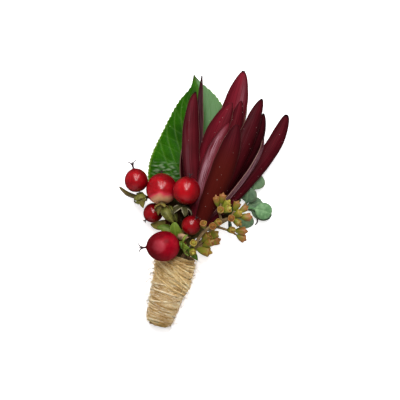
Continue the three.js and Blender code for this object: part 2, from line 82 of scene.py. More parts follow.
class Path:
    """A smooth line through space, measured along its own length."""

    def __init__(self, points: np.ndarray) -> None:
        """Keeps the line.

        Args:
            points: The line's points, one a row.
        """
        self.points = np.asarray(points, dtype=float)
        steps = np.linalg.norm(np.diff(self.points, axis=0), axis=1)
        self.marks = np.concatenate(([0.0], np.cumsum(steps)))
        self.length = float(self.marks[-1])

    @classmethod
    def bow(cls, root: Numbers, middle: Numbers, tip: Numbers) -> "Path":
        """A bent line from root to tip that passes through middle.

        Args:
            root: Where it starts.
            middle: Where it passes halfway.
            tip: Where it ends.

        Returns:
            The line.
        """
        start, half, end = (np.array(place, dtype=float) for place in (root, middle, tip))
        control = 2 * half - (start + end) / 2
        t = np.linspace(0, 1, 65)[:, None]
        return cls((1 - t) ** 2 * start + 2 * t * (1 - t) * control + t**2 * end)

    @classmethod
    def through(cls, places: Iterable[Numbers], steps: int = 14) -> "Path":
        """A smooth line through every place.

        Args:
            places: The places, in order.
            steps: How many points each stretch gets.

        Returns:
            The line.
        """
        knots = [np.array(place, dtype=float) for place in places]
        knots = [2 * knots[0] - knots[1], *knots, 2 * knots[-1] - knots[-2]]
        points = []
        for a, b, c, d in zip(knots, knots[1:], knots[2:], knots[3:]):
            before, here, after = (math.sqrt(np.linalg.norm(q - p)) for p, q in ((a, b), (b, c), (c, d)))
            leave = ((b - a) / before - (c - a) / (before + here) + (c - b) / here) * here
            reach = ((c - b) / here - (d - b) / (here + after) + (d - c) / after) * here
            for t in np.linspace(0, 1, steps, endpoint=False):
                points.append(
                    b * (2 * t**3 - 3 * t**2 + 1)
                    + leave * (t**3 - 2 * t**2 + t)
                    + c * (3 * t**2 - 2 * t**3)
                    + reach * (t**3 - t**2)
                )
        points.append(knots[-2])
        return cls(np.array(points))

    def at(self, share: np.ndarray) -> np.ndarray:
        """The points at shares of the length."""
        distance = np.clip(share, 0, 1) * self.length
        return np.stack([np.interp(distance, self.marks, axis) for axis in self.points.T], axis=-1)

    def heading(self, share: np.ndarray) -> np.ndarray:
        """The unit directions at shares of the length."""
        return unit(self.at(share + HEADING_SPAN) - self.at(share - HEADING_SPAN))


def unit(rows: np.ndarray) -> np.ndarray:
    """Vectors drawn to length one."""
    return rows / np.maximum(np.linalg.norm(rows, axis=-1, keepdims=True), 1e-9)


def smooth_step(low: float, high: float, value: np.ndarray) -> np.ndarray:
    """A soft rise from 0 at low to 1 at high."""
    t = np.clip((value - low) / (high - low), 0, 1)
    return t * t * (3 - 2 * t)


def wander(rng: np.random.Generator, count: int, knots: int) -> np.ndarray:
    """A smooth random line between -1 and 1.

    Args:
        rng: The source of chance.
        count: How many values.
        knots: How many random values it passes through.

    Returns:
        The values.
    """
    marks = rng.uniform(-1, 1, knots + 1)
    place = np.linspace(0, knots, count)
    low = np.minimum(place.astype(int), knots - 1)
    share = smooth_step(0, 1, place - low)
    return marks[low] * (1 - share) + marks[low + 1] * share


# Meshes


def deselect() -> None:
    """Leaves nothing selected, because an operator acts on all that is."""
    bpy.ops.object.select_all(action="DESELECT")


def select_only(piece: Piece) -> None:
    """Selects one object and makes it active.

    Args:
        piece: The object.
    """
    deselect()
    piece.select_set(True)
    bpy.context.view_layer.objects.active = piece


def named(piece: Piece, name: str) -> Piece:
    """Names an object and its mesh alike.

    Args:
        piece: The object.
        name: Its name.

    Returns:
        The same object.
    """
    piece.name = name
    piece.data.name = name
    return piece


def points_of(piece: Piece) -> np.ndarray:
    """An object's vertices as they are stored.

    Args:
        piece: The object.

    Returns:
        The vertices, one a row.
    """
    flat = np.empty(len(piece.data.vertices) * 3)
    piece.data.vertices.foreach_get("co", flat)
    return flat.reshape(-1, 3)


def set_points(piece: Piece, points: np.ndarray) -> None:
    """Puts an object's vertices at places in millimetres."""
    piece.data.vertices.foreach_set("co", (points * MM).ravel())
    piece.data.update()


def mark(piece: Piece, name: str, values: np.ndarray | float) -> None:
    """Writes a number on every vertex for a material to read.

    Args:
        piece: The object.
        name: The attribute's name.
        values: One number a vertex, or one for all.
    """
    count = len(piece.data.vertices)
    attribute = piece.data.attributes.new(name, "FLOAT", "POINT")
    attribute.data.foreach_set("value", np.broadcast_to(np.asarray(values, dtype=float), (count,)).copy())


def modify(piece: Piece, kind: str, **settings: object) -> None:
    """Adds a modifier and applies it.

    Args:
        piece: The object.
        kind: The modifier's type.
        **settings: Its settings.
    """
    select_only(piece)
    modifier = piece.modifiers.new(kind.title(), kind)
    for name, value in settings.items():
        setattr(modifier, name, value)
    bpy.ops.object.modifier_apply(modifier=modifier.name)


def closed(piece: Piece) -> Piece:
    """Welds the seams and poles of a rolled sheet and turns its faces out.

    Args:
        piece: The object.

    Returns:
        The same object.
    """
    select_only(piece)
    bpy.ops.object.mode_set(mode="EDIT")
    bpy.ops.mesh.select_all(action="SELECT")
    bpy.ops.mesh.remove_doubles(threshold=2e-6)
    bpy.ops.mesh.normals_make_consistent(inside=False)
    bpy.ops.object.mode_set(mode="OBJECT")
    return piece


def smoothed(piece: Piece, degrees: float = 60) -> Piece:
    """Shades an object smooth, with a crease only where faces meet more sharply than an angle.

    Args:
        piece: The object.
        degrees: The angle.

    Returns:
        The same object.
    """
    select_only(piece)
    bpy.ops.object.shade_smooth_by_angle(angle=math.radians(degrees))
    return piece


def joined(name: str, parts: list[Piece]) -> Piece:
    """Several objects as one.

    Args:
        name: The whole's name.
        parts: The objects.

    Returns:
        The whole.
    """
    select_only(parts[0])
    for part in parts[1:]:
        part.select_set(True)
    if len(parts) > 1:
        bpy.ops.object.join()
    return named(bpy.context.view_layer.objects.active, name)


def copied(piece: Piece) -> Piece:
    """A copy of an object with its own mesh.

    Args:
        piece: The object.

    Returns:
        The copy.
    """
    twin = piece.copy()
    twin.data = piece.data.copy()
    bpy.context.collection.objects.link(twin)
    return twin


def sheet(name: str, across: int, along: int) -> Piece:
    """A flat square sheet of faces from -1 to 1, with its UV map.

    Args:
        name: Its name.
        across: Faces along X.
        along: Faces along Y.

    Returns:
        The sheet.
    """
    deselect()
    bpy.ops.mesh.primitive_grid_add(x_subdivisions=across, y_subdivisions=along, size=2, calc_uvs=True)
    return named(bpy.context.active_object, name)


def tube(flat: np.ndarray, centres: np.ndarray, outward: np.ndarray, radii: np.ndarray) -> np.ndarray:
    """Where a sheet's vertices go when it is rolled round a line, drawn to a point at both ends.

    Args:
        flat: The sheet's vertices, from -1 to 1, one a row.
        centres: The middle of each ring, one a row.
        outward: A unit direction square to the line at each ring.
        radii: The radius of each ring.

    Returns:
        The places, one a row.
    """
    ring = np.rint((flat[:, 1] + 1) / 2 * (len(centres) - 1)).astype(int)
    angle = math.pi * (flat[:, 0] + 1)
    second = np.cross(unit(np.gradient(centres, axis=0)), outward)
    reach = radii.copy()
    reach[[0, -1]] = 0
    round_it = outward[ring] * np.cos(angle)[:, None] + second[ring] * np.sin(angle)[:, None]
    return centres[ring] + round_it * reach[ring][:, None]


def rolled(name: str, centres: np.ndarray, outward: np.ndarray, radii: np.ndarray, sides: int) -> Piece:
    """A sheet rolled into a long round body, drawn to a point at both ends.

    Args:
        name: Its name.
        centres: The middle of each ring, one a row.
        outward: A direction away from the line at each ring.
        radii: The radius of each ring.
        sides: Faces round it.

    Returns:
        The body, with u round it and v along it.
    """
    along = unit(np.gradient(centres, axis=0))
    square = unit(outward - along * np.sum(outward * along, axis=1, keepdims=True))
    piece = sheet(name, sides, len(centres) - 1)
    set_points(piece, tube(points_of(piece), centres, square, radii))
    return closed(piece)


def turned(name: str, profile: Sequence[tuple[float, float]], sides: int) -> Piece:
    """A round form about +Z, drawn up ring by ring from a disc.

    Args:
        name: Its name.
        profile: Radius and height of each ring, from the foot up.
        sides: Faces round it.

    Returns:
        The form, standing on the origin.
    """
    deselect()
    radius, height = profile[0]
    bpy.ops.mesh.primitive_circle_add(
        vertices=sides, radius=radius * MM, location=(0, 0, height * MM), fill_type="NGON"
    )
    piece = named(bpy.context.active_object, name)
    bpy.ops.object.transform_apply(location=True, rotation=False, scale=False)
    bpy.ops.object.mode_set(mode="EDIT")
    bpy.ops.mesh.select_mode(type="EDGE")
    bpy.ops.mesh.select_all(action="SELECT")
    for (last, low), (wide, high) in zip(profile, profile[1:]):
        bpy.ops.mesh.extrude_region_move(TRANSFORM_OT_translate={"value": (0, 0, (high - low) * MM)})
        share = wide / last
        bpy.ops.transform.resize(value=(share, share, 1), center_override=(0, 0, high * MM))
    bpy.ops.mesh.select_all(action="SELECT")
    bpy.ops.mesh.normals_make_consistent(inside=False)
    bpy.ops.mesh.select_mode(type="VERT")
    bpy.ops.object.mode_set(mode="OBJECT")
    return smoothed(piece)


def stood(piece: Piece, foot: Numbers, axis: Numbers, turn: float = 0.0) -> Piece:
    """Puts a form that stands on the origin at a place, along an axis.

    Args:
        piece: The form.
        foot: Where it stands.
        axis: The way that its +Z goes.
        turn: How far it is turned about itself first.

    Returns:
        The same form.
    """
    points = points_of(piece) / MM
    up = Vector(axis).normalized()
    lean = Vector((0, 0, 1)).rotation_difference(up).to_matrix()
    spin = np.array([[math.cos(turn), -math.sin(turn), 0], [math.sin(turn), math.cos(turn), 0], [0, 0, 1]])
    set_points(piece, points @ (np.array(lean) @ spin).T + np.array(foot, dtype=float))
    return piece


def stem(name: str, path: Path, radii: Numbers, step: float, sides: int = 8) -> Piece:
    """A round stem along a line, drawn as a thick curve and made a mesh.

    Args:
        name: Its name.
        path: The line.
        radii: The radius at places spread evenly along it.
        step: How far apart its rings are.
        sides: Faces round it, even.

    Returns:
        The stem, closed at both ends.
    """
    deselect()
    bpy.ops.curve.primitive_nurbs_path_add()
    piece = bpy.context.active_object
    curve = piece.data
    curve.splines.clear()
    line = curve.splines.new("POLY")
    share = np.linspace(0, 1, max(4, int(path.length / step) + 1))
    line.points.add(len(share) - 1)
    widths = np.interp(share, np.linspace(0, 1, len(radii)), radii)
    for bead, place, width in zip(line.points, path.at(share) * MM, widths):
        bead.co = (*place, 1)
        bead.radius = width
    curve.dimensions = "3D"
    curve.bevel_depth = MM
    curve.bevel_resolution = (sides - 4) // 2
    curve.use_fill_caps = True
    bpy.ops.object.convert(target="MESH")
    return smoothed(named(bpy.context.active_object, name), 50)


def spread(axis: np.ndarray, count: int, lift: float, phase: float) -> list[np.ndarray]:
    """Directions evenly round an axis.

    Args:
        axis: The axis, of length one.
        count: How many.
        lift: How far they lean towards the axis.
        phase: The angle of the first.

    Returns:
        The directions.
    """
    helper = np.array([0.0, 0.0, 1.0]) if abs(axis[2]) < 0.9 else np.array([1.0, 0.0, 0.0])
    first = unit(np.cross(axis, helper))
    second = np.cross(axis, first)
    angles = phase + np.arange(count) * 2 * math.pi / count
    return [unit(first * math.cos(a) + second * math.sin(a) + axis * lift) for a in angles]


@dataclass
class Blade:
    """A leaf-like blade along a line.

    Its outline gives the half width over width / 2 at shares of its length, and relief the height of its
    upper side at places across and along. margin is the rim's share of the thickness, cup bends the edges
    back, crowd draws rows to the tip, rounded smooths the whole once, and edge is how far the rim stands out.
    """

    path: Path
    faces: Numbers
    width: float
    outline: Callable[[np.ndarray], np.ndarray]
    relief: Callable[[np.ndarray, np.ndarray], np.ndarray]
    thickness: float
    margin: float
    cup: float
    across: int
    along: int
    crowd: float = 1.0
    rounded: bool = True
    edge: Callable[[np.ndarray, np.ndarray], np.ndarray] | None = None

    def build(self, name: str, **marks: float) -> Piece:
        """Bends a flat sheet to the blade, thickens it and rounds its rim.

        Args:
            name: Its name.
            **marks: Numbers for its material to read.

        Returns:
            The blade, with u across it and v along it.
        """
        piece = sheet(name, self.across, self.along)
        flat = points_of(piece)
        u = flat[:, 0]
        t = 1 - (1 - (flat[:, 1] + 1) / 2) ** self.crowd
        heading = self.path.heading(t)
        side = unit(np.cross(heading, unit(np.array(self.faces, dtype=float))))
        up = unit(np.cross(side, heading))
        half = self.width / 2 * self.outline(t)
        if self.edge is not None:
            half = half + self.edge(u, t) * smooth_step(0.6, 1.0, np.abs(u))
        rise = -self.cup * half * u * u + self.relief(u, t)
        set_points(piece, self.path.at(t) + side * (u * half)[:, None] + up * rise[:, None])
        for key, value in marks.items():
            mark(piece, key, value)
        group = piece.vertex_groups.new(name="body")
        weights = 1 - (1 - self.margin) * np.abs(u) ** 2.5
        weights *= 1 - 0.45 * smooth_step(0.85, 1.0, t)
        for index, weight in enumerate(weights):
            group.add([index], float(weight), "REPLACE")
        modify(piece, "SOLIDIFY", thickness=self.thickness * MM, offset=0, vertex_group="body")
        if self.rounded:
            modify(piece, "SUBSURF", levels=1, render_levels=1)
        piece.vertex_groups.clear()
        return smoothed(piece, 70)


def places_on(piece: Piece) -> tuple[np.ndarray, np.ndarray]:
    """Where each vertex of a blade is across and along it, from its UV map.

    Args:
        piece: The blade.

    Returns:
        Places across from -1 to 1, and shares of the length.
    """
    mesh = piece.data
    uv = np.empty(len(mesh.loops) * 2)
    mesh.uv_layers.active.uv.foreach_get("vector", uv)
    corners = np.empty(len(mesh.loops), dtype=int)
    mesh.loops.foreach_get("vertex_index", corners)
    across, along = np.zeros(len(mesh.vertices)), np.zeros(len(mesh.vertices))
    across[corners], along[corners] = uv[0::2], uv[1::2]
    return across * 2 - 1, along


def rested(piece: Piece, soft: float = 0.3) -> Piece:
    """Lets the low places of a leaf settle on the surface instead of passing through it.

    Args:
        piece: The leaf.
        soft: The height under which it settles.

    Returns:
        The same leaf.
    """
    points = points_of(piece) / MM
    height = points[:, 2]
    points[:, 2] = np.where(height < soft, soft * np.exp((np.minimum(height, soft) - soft) / soft), height)
    set_points(piece, points)
    return piece


# Materials


def linear(code: str) -> tuple[float, float, float, float]:
    """An sRGB hex colour as linear light.

    Args:
        code: The colour, such as "#56191d".

    Returns:
        Red, green, blue and alpha.
    """
    parts = [int(code[i : i + 2], 16) / 255 for i in (1, 3, 5)]
    light = [c / 12.92 if c <= 0.04045 else ((c + 0.055) / 1.055) ** 2.4 for c in parts]
    return (*light, 1.0)


def node(
    tree: Tree,
    kind: str,
    settings: dict[str | int, object] | None = None,
    links: dict[str | int, Socket] | None = None,
    out: str | int = 0,
) -> Socket:
    """Adds a node with its settings and links.

    Args:
        tree: The material's nodes.
        kind: The node's type.
        settings: Properties by name, inputs by name or number, and a ramp's stops.
        links: The socket that feeds each input.
        out: The output that is handed back, by name or number.

    Returns:
        That output.
    """
    made = tree.nodes.new(kind)
    for key, value in (settings or {}).items():
        if key == "stops":
            ramp = made.color_ramp
            while len(ramp.elements) < len(value):
                ramp.elements.new(1.0)
            for element, (position, colour) in zip(ramp.elements, value):
                element.position = position
                element.color = linear(colour)
        elif isinstance(key, str) and hasattr(made, key):
            setattr(made, key, value)
        else:
            made.inputs[key].default_value = value
    for key, source in (links or {}).items():
        tree.links.new(source, made.inputs[key])
    return made.outputs[out]


SHADER = "Principled BSDF"  # the name of a new material's shader
MIXED = 2  # the colour output of a mix node
MIX_A, MIX_B = 6, 7  # its colour inputs


@dataclass(frozen=True)
class Finish:
    """What every finish shares: its name, how light meets its surface, and how rough its relief is."""

    name: str
    roughness: float = 0.5
    coat: float = 0.0
    coat_roughness: float = 0.1
    coat_ior: float = 1.5
    sheen: float = 0.0
    sheen_tint: str = "#ffffff"
    specular: float = 0.25
    subsurface: float = 0.0
    bump: float = 0.35
    bump_depth: float = 0.00015

    def start(self, *marks: str) -> tuple[Material, Tree, Socket, list[Socket]]:
        """Makes the material, sets its shader and reads what was marked on the vertices.

        Args:
            *marks: The names of the marks.

        Returns:
            The material, its nodes, the place on the object, and the marks' values.
        """
        material = bpy.data.materials.new(self.name)
        material.use_nodes = True
        settings = {
            "Roughness": self.roughness, "IOR": 1.45, "Coat Weight": self.coat,
            "Coat Roughness": self.coat_roughness, "Coat IOR": self.coat_ior, "Sheen Weight": self.sheen,
            "Sheen Tint": linear(self.sheen_tint), "Sheen Roughness": 0.4,
            "Specular IOR Level": self.specular, "Subsurface Weight": self.subsurface,
            "Subsurface Radius": (0.0012, 0.0005, 0.0003), "Subsurface Scale": 1.0,
        }
        tree = material.node_tree
        for key, value in settings.items():
            tree.nodes[SHADER].inputs[key].default_value = value
        place = node(tree, "ShaderNodeTexCoord", out="Object")
        read = [node(tree, "ShaderNodeAttribute", {"attribute_name": mark}, out="Fac") for mark in marks]
        return material, tree, place, read

    @staticmethod
    def shifted(tree: Tree, level: Socket, *waves: tuple[Socket, float]) -> Socket:
        """Moves a level up and down by waves, each about its own middle.

        Args:
            tree: The material's nodes.
            level: The level.
            *waves: Waves from 0 to 1, and how far each moves the level in all.

        Returns:
            The moved level.
        """
        for wave, depth in waves:
            settings = {"operation": "MULTIPLY_ADD", 1: depth, 2: -depth / 2}
            shift = node(tree, "ShaderNodeMath", settings, {0: wave})
            level = node(tree, "ShaderNodeMath", {"operation": "ADD"}, {0: level, 1: shift})
        return level

    def painted(
        self,
        tree: Tree,
        skin: Socket,
        layers: Sequence[tuple[Socket, str]] = (),
        height: Socket | None = None,
    ) -> None:
        """Lays colours over the skin and gives the shader the result and the relief.

        Args:
            tree: The material's nodes.
            skin: The colour that the others are laid over.
            layers: How much each colour covers, and the colour, the lowest first.
            height: The height of the relief.
        """
        shader = tree.nodes[SHADER]
        for share, colour in layers:
            settings = {"data_type": "RGBA", MIX_B: linear(colour)}
            skin = node(tree, "ShaderNodeMix", settings, {0: share, MIX_A: skin}, MIXED)
        tree.links.new(skin, shader.inputs["Base Color"])
        if height is not None:
            settings = {"Strength": self.bump, "Distance": self.bump_depth}
            normal = node(tree, "ShaderNodeBump", settings, {"Height": height})
            tree.links.new(normal, shader.inputs["Normal"])

    def material(self) -> Material:
        """The finished material."""
        raise NotImplementedError


@dataclass(frozen=True)
class BractSkin(Finish):
    """Leucadendron bract: leathery skin under a thin wax, finely striped from base to tip."""

    name: str = "waxy_leucadendron_bract"
    roughness: float = 0.4
    specular: float = 0.03
    bump: float = 0.5
    bump_depth: float = 0.00012
    deep: str = "#24060a"
    wine: str = "#4c0e17"
    red: str = "#8a2030"
    brown: str = "#52180f"
    rim: str = "#b28c7a"
    tip: str = "#16090c"
    # the pinkish grey of the hairs' painted sheen
    silk: str = "#a67a84"
    dust: str = "#b9a29c"

    def material(self) -> Material:
        """Wine red by tone, browner by warmth, with stripes, painted shade towards the margins, a band of
        hairs under a painted pinkish sheen, a pale rim and a dark tip.

        Returns:
            The material.
        """
        material, tree, place, (tone, warmth, silk, scorch) = self.start("tone", "warmth", "silk", "scorch")
        uv = node(tree, "ShaderNodeUVMap")
        across, along, _ = node(tree, "ShaderNodeSeparateXYZ", links={0: uv}).node.outputs
        # stripes 0.3 to 0.6 mm apart on a bract 8 mm wide, run together along its length, and finer hair
        # streaks in the painted sheen
        stripes, hairs = (
            node(
                tree, "ShaderNodeTexNoise", {"Scale": 1.0, "Detail": detail, "Roughness": roughness},
                {"Vector": node(tree, "ShaderNodeMapping", {"Scale": stretch}, {"Vector": uv})},
            )
            for stretch, detail, roughness in (((24.0, 1.8, 1.0), 3.0, 0.6), ((34.0, 4.2, 1.0), 2.0, 0.7))
        )
        clouds = node(tree, "ShaderNodeTexNoise", {"Scale": 130.0, "Detail": 3.0}, {"Vector": place})
        level = self.shifted(tree, tone, (stripes, 0.9), (clouds, 0.3))
        stops = [(0.0, self.deep), (0.42, self.wine), (1.0, self.red)]
        skin = node(tree, "ShaderNodeValToRGB", {"stops": stops}, {"Fac": level})
        off_middle = node(tree, "ShaderNodeMath", {"operation": "SUBTRACT", 1: 0.5}, {0: across})
        outward = node(tree, "ShaderNodeMath", {"operation": "ABSOLUTE"}, {0: off_middle})
        speck = node(tree, "ShaderNodeTexVoronoi", {"Scale": 420.0}, {"Vector": place})
        matt, glossy = self.roughness + 0.14, self.roughness - 0.08
        margins, rim, tip, hair_sheen, dusted, rough = (
            node(
                tree, "ShaderNodeMapRange",
                {"interpolation_type": ease, "From Min": a, "From Max": b, "To Min": least, "To Max": most},
                {"Value": value},
            )
            for value, ease, a, b, least, most in (
                # painted shade: darker towards both margins of a bract
                (outward, "SMOOTHSTEP", 0.15, 0.5, 0.0, 0.6),
                # thin and pale, where a bract is only skin
                (outward, "SMOOTHSTEP", 0.465, 0.495, 0.0, 0.75),
                (along, "SMOOTHSTEP", 0.9, 0.975, 0.0, 0.95),
                (hairs, "LINEAR", 0.4, 0.6, 0.0, 1.15),
                # specks of pollen some 2.4 mm apart
                (speck, "LINEAR", 0.07, 0.045, 0.0, 0.55),
                (stripes, "LINEAR", 0.0, 1.0, glossy, matt),
            )
        )
        settings = {"operation": "MULTIPLY_ADD", "use_clamp": True, 1: 1.6, 2: 0.2}
        light = node(tree, "ShaderNodeMath", settings, {0: tone})
        cool = node(tree, "ShaderNodeMath", {"operation": "MULTIPLY_ADD", 1: -1.1, 2: 1.0}, {0: warmth})
        # the hairs' band, mostly a painted sheen over the skin
        sheen_share, rim, tip = (
            node(tree, "ShaderNodeMath", {"operation": "MULTIPLY"}, {0: share, 1: held})
            for share, held in (
                (silk, hair_sheen),
                (rim, node(tree, "ShaderNodeMath", {"operation": "MULTIPLY"}, {0: light, 1: cool})),
                (tip, scorch),
            )
        )
        layers = (
            (warmth, self.brown), (margins, self.deep), (sheen_share, self.silk), (dusted, self.dust),
            (rim, self.rim), (tip, self.tip),
        )
        self.painted(tree, skin, layers, stripes)
        tree.links.new(rough, tree.nodes[SHADER].inputs["Roughness"])
        return material


@dataclass(frozen=True)
class LeafSkin(Finish):
    """Broad salal-like leaf: leathery and glossy, with paler veins that rise steeply to the margin."""

    name: str = "leathery_broad_leaf"
    roughness: float = 0.34
    specular: float = 0.06
    bump: float = 0.45
    bump_depth: float = 0.0002
    bright: str = "#316c06"
    dark: str = "#153e02"
    # painted sheen on the right half
    sage: str = "#64885a"
    vein: str = "#6f9c3a"
    rim: str = "#7f9e34"
    # painted shade by the petiole, and the browned tip
    base_shade_tip_brown: str = "#33220e"
    # specks of dust, and the colour of the painted glints on the wrinkles
    dust: str = "#c9d6b8"

    def material(self) -> Material:
        """Saturated green, with a painted sage sheen over the right half, painted glints on the wrinkles,
        painted shade by the petiole, veins, a browned tip and a yellower rim.

        Returns:
            The material.
        """
        material, tree, place, (vein, web, crumpled, aged) = self.start("vein", "web", "crumpled", "aged")
        across = node(tree, "ShaderNodeSeparateXYZ", links={0: node(tree, "ShaderNodeUVMap")})
        clouds = node(tree, "ShaderNodeTexNoise", {"Scale": 110.0, "Detail": 4.0}, {"Vector": place})
        # cells of the finest veins, about 0.8 mm across, and specks of dust some 2.5 mm apart
        cells, speck = (
            node(tree, "ShaderNodeTexVoronoi", {"Scale": scale, "feature": feature}, {"Vector": place})
            for scale, feature in ((1250.0, "DISTANCE_TO_EDGE"), (400.0, "F1"))
        )
        stops = [(0.3, self.dark), (0.7, self.bright)]
        green = node(tree, "ShaderNodeValToRGB", {"stops": stops}, {"Fac": clouds})
        off_middle = node(tree, "ShaderNodeMath", {"operation": "SUBTRACT", 1: 0.5}, {0: across})
        outward = node(tree, "ShaderNodeMath", {"operation": "ABSOLUTE"}, {0: off_middle})
        # the right half carries a painted sage sheen
        net, right, rim, dusted = (
            node(
                tree, "ShaderNodeMapRange",
                {"interpolation_type": ease, "From Min": low, "From Max": high, "To Max": most},
                {"Value": value},
            )
            for value, ease, low, high, most in (
                (cells, "SMOOTHSTEP", 0.2, 0.02, 0.42), (across, "SMOOTHSTEP", 0.5, 0.68, 0.9),
                (outward, "SMOOTHSTEP", 0.47, 0.5, 0.6), (speck, "LINEAR", 0.08, 0.05, 0.35),
            )
        )
        # painted glints on the wrinkles, laid on in the dust colour
        dusted = node(tree, "ShaderNodeMath", {"operation": "MAXIMUM"}, {0: dusted, 1: crumpled})
        height = node(tree, "ShaderNodeMath", {"operation": "MULTIPLY_ADD", 1: 0.4}, {0: cells, 2: web})
        layers = (
            (net, self.dark), (right, self.sage), (vein, self.vein), (dusted, self.dust), (aged, self.base_shade_tip_brown),
            (rim, self.rim),
        )
        self.painted(tree, green, layers, height)
        return material


@dataclass(frozen=True)
class BerrySkin(Finish):
    """Hypericum berry: taut, waxed fruit skin over wet flesh, so that lights show on it sharply."""

    name: str = "glossy_hypericum_berry"
    roughness: float = 0.4
    coat: float = 0.3
    coat_roughness: float = 0.2
    coat_ior: float = 1.9
    subsurface: float = 0.04
    specular: float = 0.08
    bump: float = 0.12
    bump_depth: float = 0.0001
    dark: str = "#8c000e"
    red: str = "#b40212"
    pink: str = "#d23a4c"
    pale: str = "#e0a87c"
    brown: str = "#3c140f"
    # the dark red of the painted shade
    ripe: str = "#4a0006"
    painted_shade_share: float = 0.72

    def material(self) -> Material:
        """Deep red with faint clouds and pores, fading through pink to cream where it is unripe and where a
        highlight is painted, with painted shade on the side away from the light.

        Returns:
            The material.
        """
        material, tree, place, (unripe, ends, under) = self.start("unripe", "ends", "under")
        settings = {"Scale": 240.0, "Detail": 4.0, "Roughness": 0.6}
        clouds = node(tree, "ShaderNodeTexNoise", settings, {"Vector": place})
        # pores 0.5 mm apart
        pores = node(tree, "ShaderNodeTexVoronoi", {"Scale": 2000.0}, {"Vector": place})
        fade = self.shifted(tree, unripe, (clouds, 0.24))
        # the pale colours serve both unripe skin and the painted highlight
        skin, pallor_and_highlight = (
            node(tree, "ShaderNodeValToRGB", {"stops": stops}, {"Fac": value})
            for value, stops in (
                (clouds, [(0.3, self.dark), (0.62, self.red)]),
                (fade, [(0.0, self.red), (0.4, self.pink), (0.85, self.pale)]),
            )
        )
        amount = node(tree, "ShaderNodeMapRange", {"From Min": 0.08, "From Max": 0.35}, {"Value": fade})
        links = {0: amount, MIX_A: skin, MIX_B: pallor_and_highlight}
        skin = node(tree, "ShaderNodeMix", {"data_type": "RGBA"}, links, MIXED)
        # painted shade: darker on the side away from the light
        painted_shade_share = node(tree, "ShaderNodeMath", {"operation": "MULTIPLY", 1: self.painted_shade_share}, {0: under})
        self.painted(tree, skin, ((painted_shade_share, self.ripe), (ends, self.brown)), pores)
        return material


@dataclass(frozen=True)
class Mottled(Finish):
    """Plant skin in one of a few tones, mottled with a second and a third colour."""

    low: str = "#37300f"
    middle: str = "#625528"
    high: str = "#948a40"
    rim: str = "#6a3a24"
    scale: float = 420.0
    rim_share: float = 0.5
    vein_share: float = 0.3

    def material(self) -> Material:
        """Colour by tone and clouds, with another colour on the rim and a paler midrib on blades.

        Returns:
            The material.
        """
        material, tree, place, (tone, edge, rib) = self.start("tone", "rim", "rib")
        settings = {"Scale": self.scale, "Detail": 4.0, "Roughness": 0.62}
        clouds = node(tree, "ShaderNodeTexNoise", settings, {"Vector": place})
        level = self.shifted(tree, tone, (clouds, 0.7))
        stops = [(0.05, self.low), (0.5, self.middle), (0.95, self.high)]
        skin = node(tree, "ShaderNodeValToRGB", {"stops": stops}, {"Fac": level})
        rim, midrib = (
            node(tree, "ShaderNodeMath", {"operation": "MULTIPLY", 1: most}, {0: share})
            for share, most in ((edge, self.rim_share), (rib, self.vein_share))
        )
        self.painted(tree, skin, ((rim, self.rim), (midrib, self.high)), clouds)
        return material


@dataclass(frozen=True)
class BudSkin(Finish):
    """Eucalyptus bud: green at the foot, tan to orange-brown at the rim, orange in its disc."""

    name: str = "eucalyptus_seed_bud"
    roughness: float = 0.45
    coat: float = 0.15
    coat_roughness: float = 0.3
    bump: float = 0.4
    foot: str = "#7a7e26"
    yellow: str = "#b8ac44"
    brown: str = "#8c5e2a"
    pink: str = "#9c6436"
    disc: str = "#864818"
    lip: str = "#cf9c5c"

    def material(self) -> Material:
        """Colour by height on the bud and by how ripe the bud is.

        Returns:
            The material.
        """
        material, tree, place, (height, tone, disc, lip) = self.start("height", "tone", "disc", "lip")
        settings = {"Scale": 800.0, "Detail": 4.0, "Roughness": 0.65}
        clouds = node(tree, "ShaderNodeTexNoise", settings, {"Vector": place})
        ripeness = self.shifted(tree, tone, (clouds, 1.3))
        stops = [(0.15, self.yellow), (0.6, self.brown), (0.95, self.pink)]
        top = node(tree, "ShaderNodeValToRGB", {"stops": stops}, {"Fac": ripeness})
        level = self.shifted(tree, height, (clouds, 1.3))
        level = node(tree, "ShaderNodeMath", {"operation": "MULTIPLY_ADD", 1: 0.4}, {0: tone, 2: level})
        settings = {"interpolation_type": "SMOOTHSTEP", "From Min": 0.5, "From Max": 1.1}
        rise = node(tree, "ShaderNodeMapRange", settings, {"Value": level})
        settings = {"data_type": "RGBA", MIX_A: linear(self.foot)}
        skin = node(tree, "ShaderNodeMix", settings, {0: rise, MIX_B: top}, MIXED)
        worn = node(tree, "ShaderNodeMath", {"operation": "MULTIPLY"}, {0: lip, 1: clouds})
        self.painted(tree, skin, ((disc, self.disc), (worn, self.lip)), clouds)
        return material


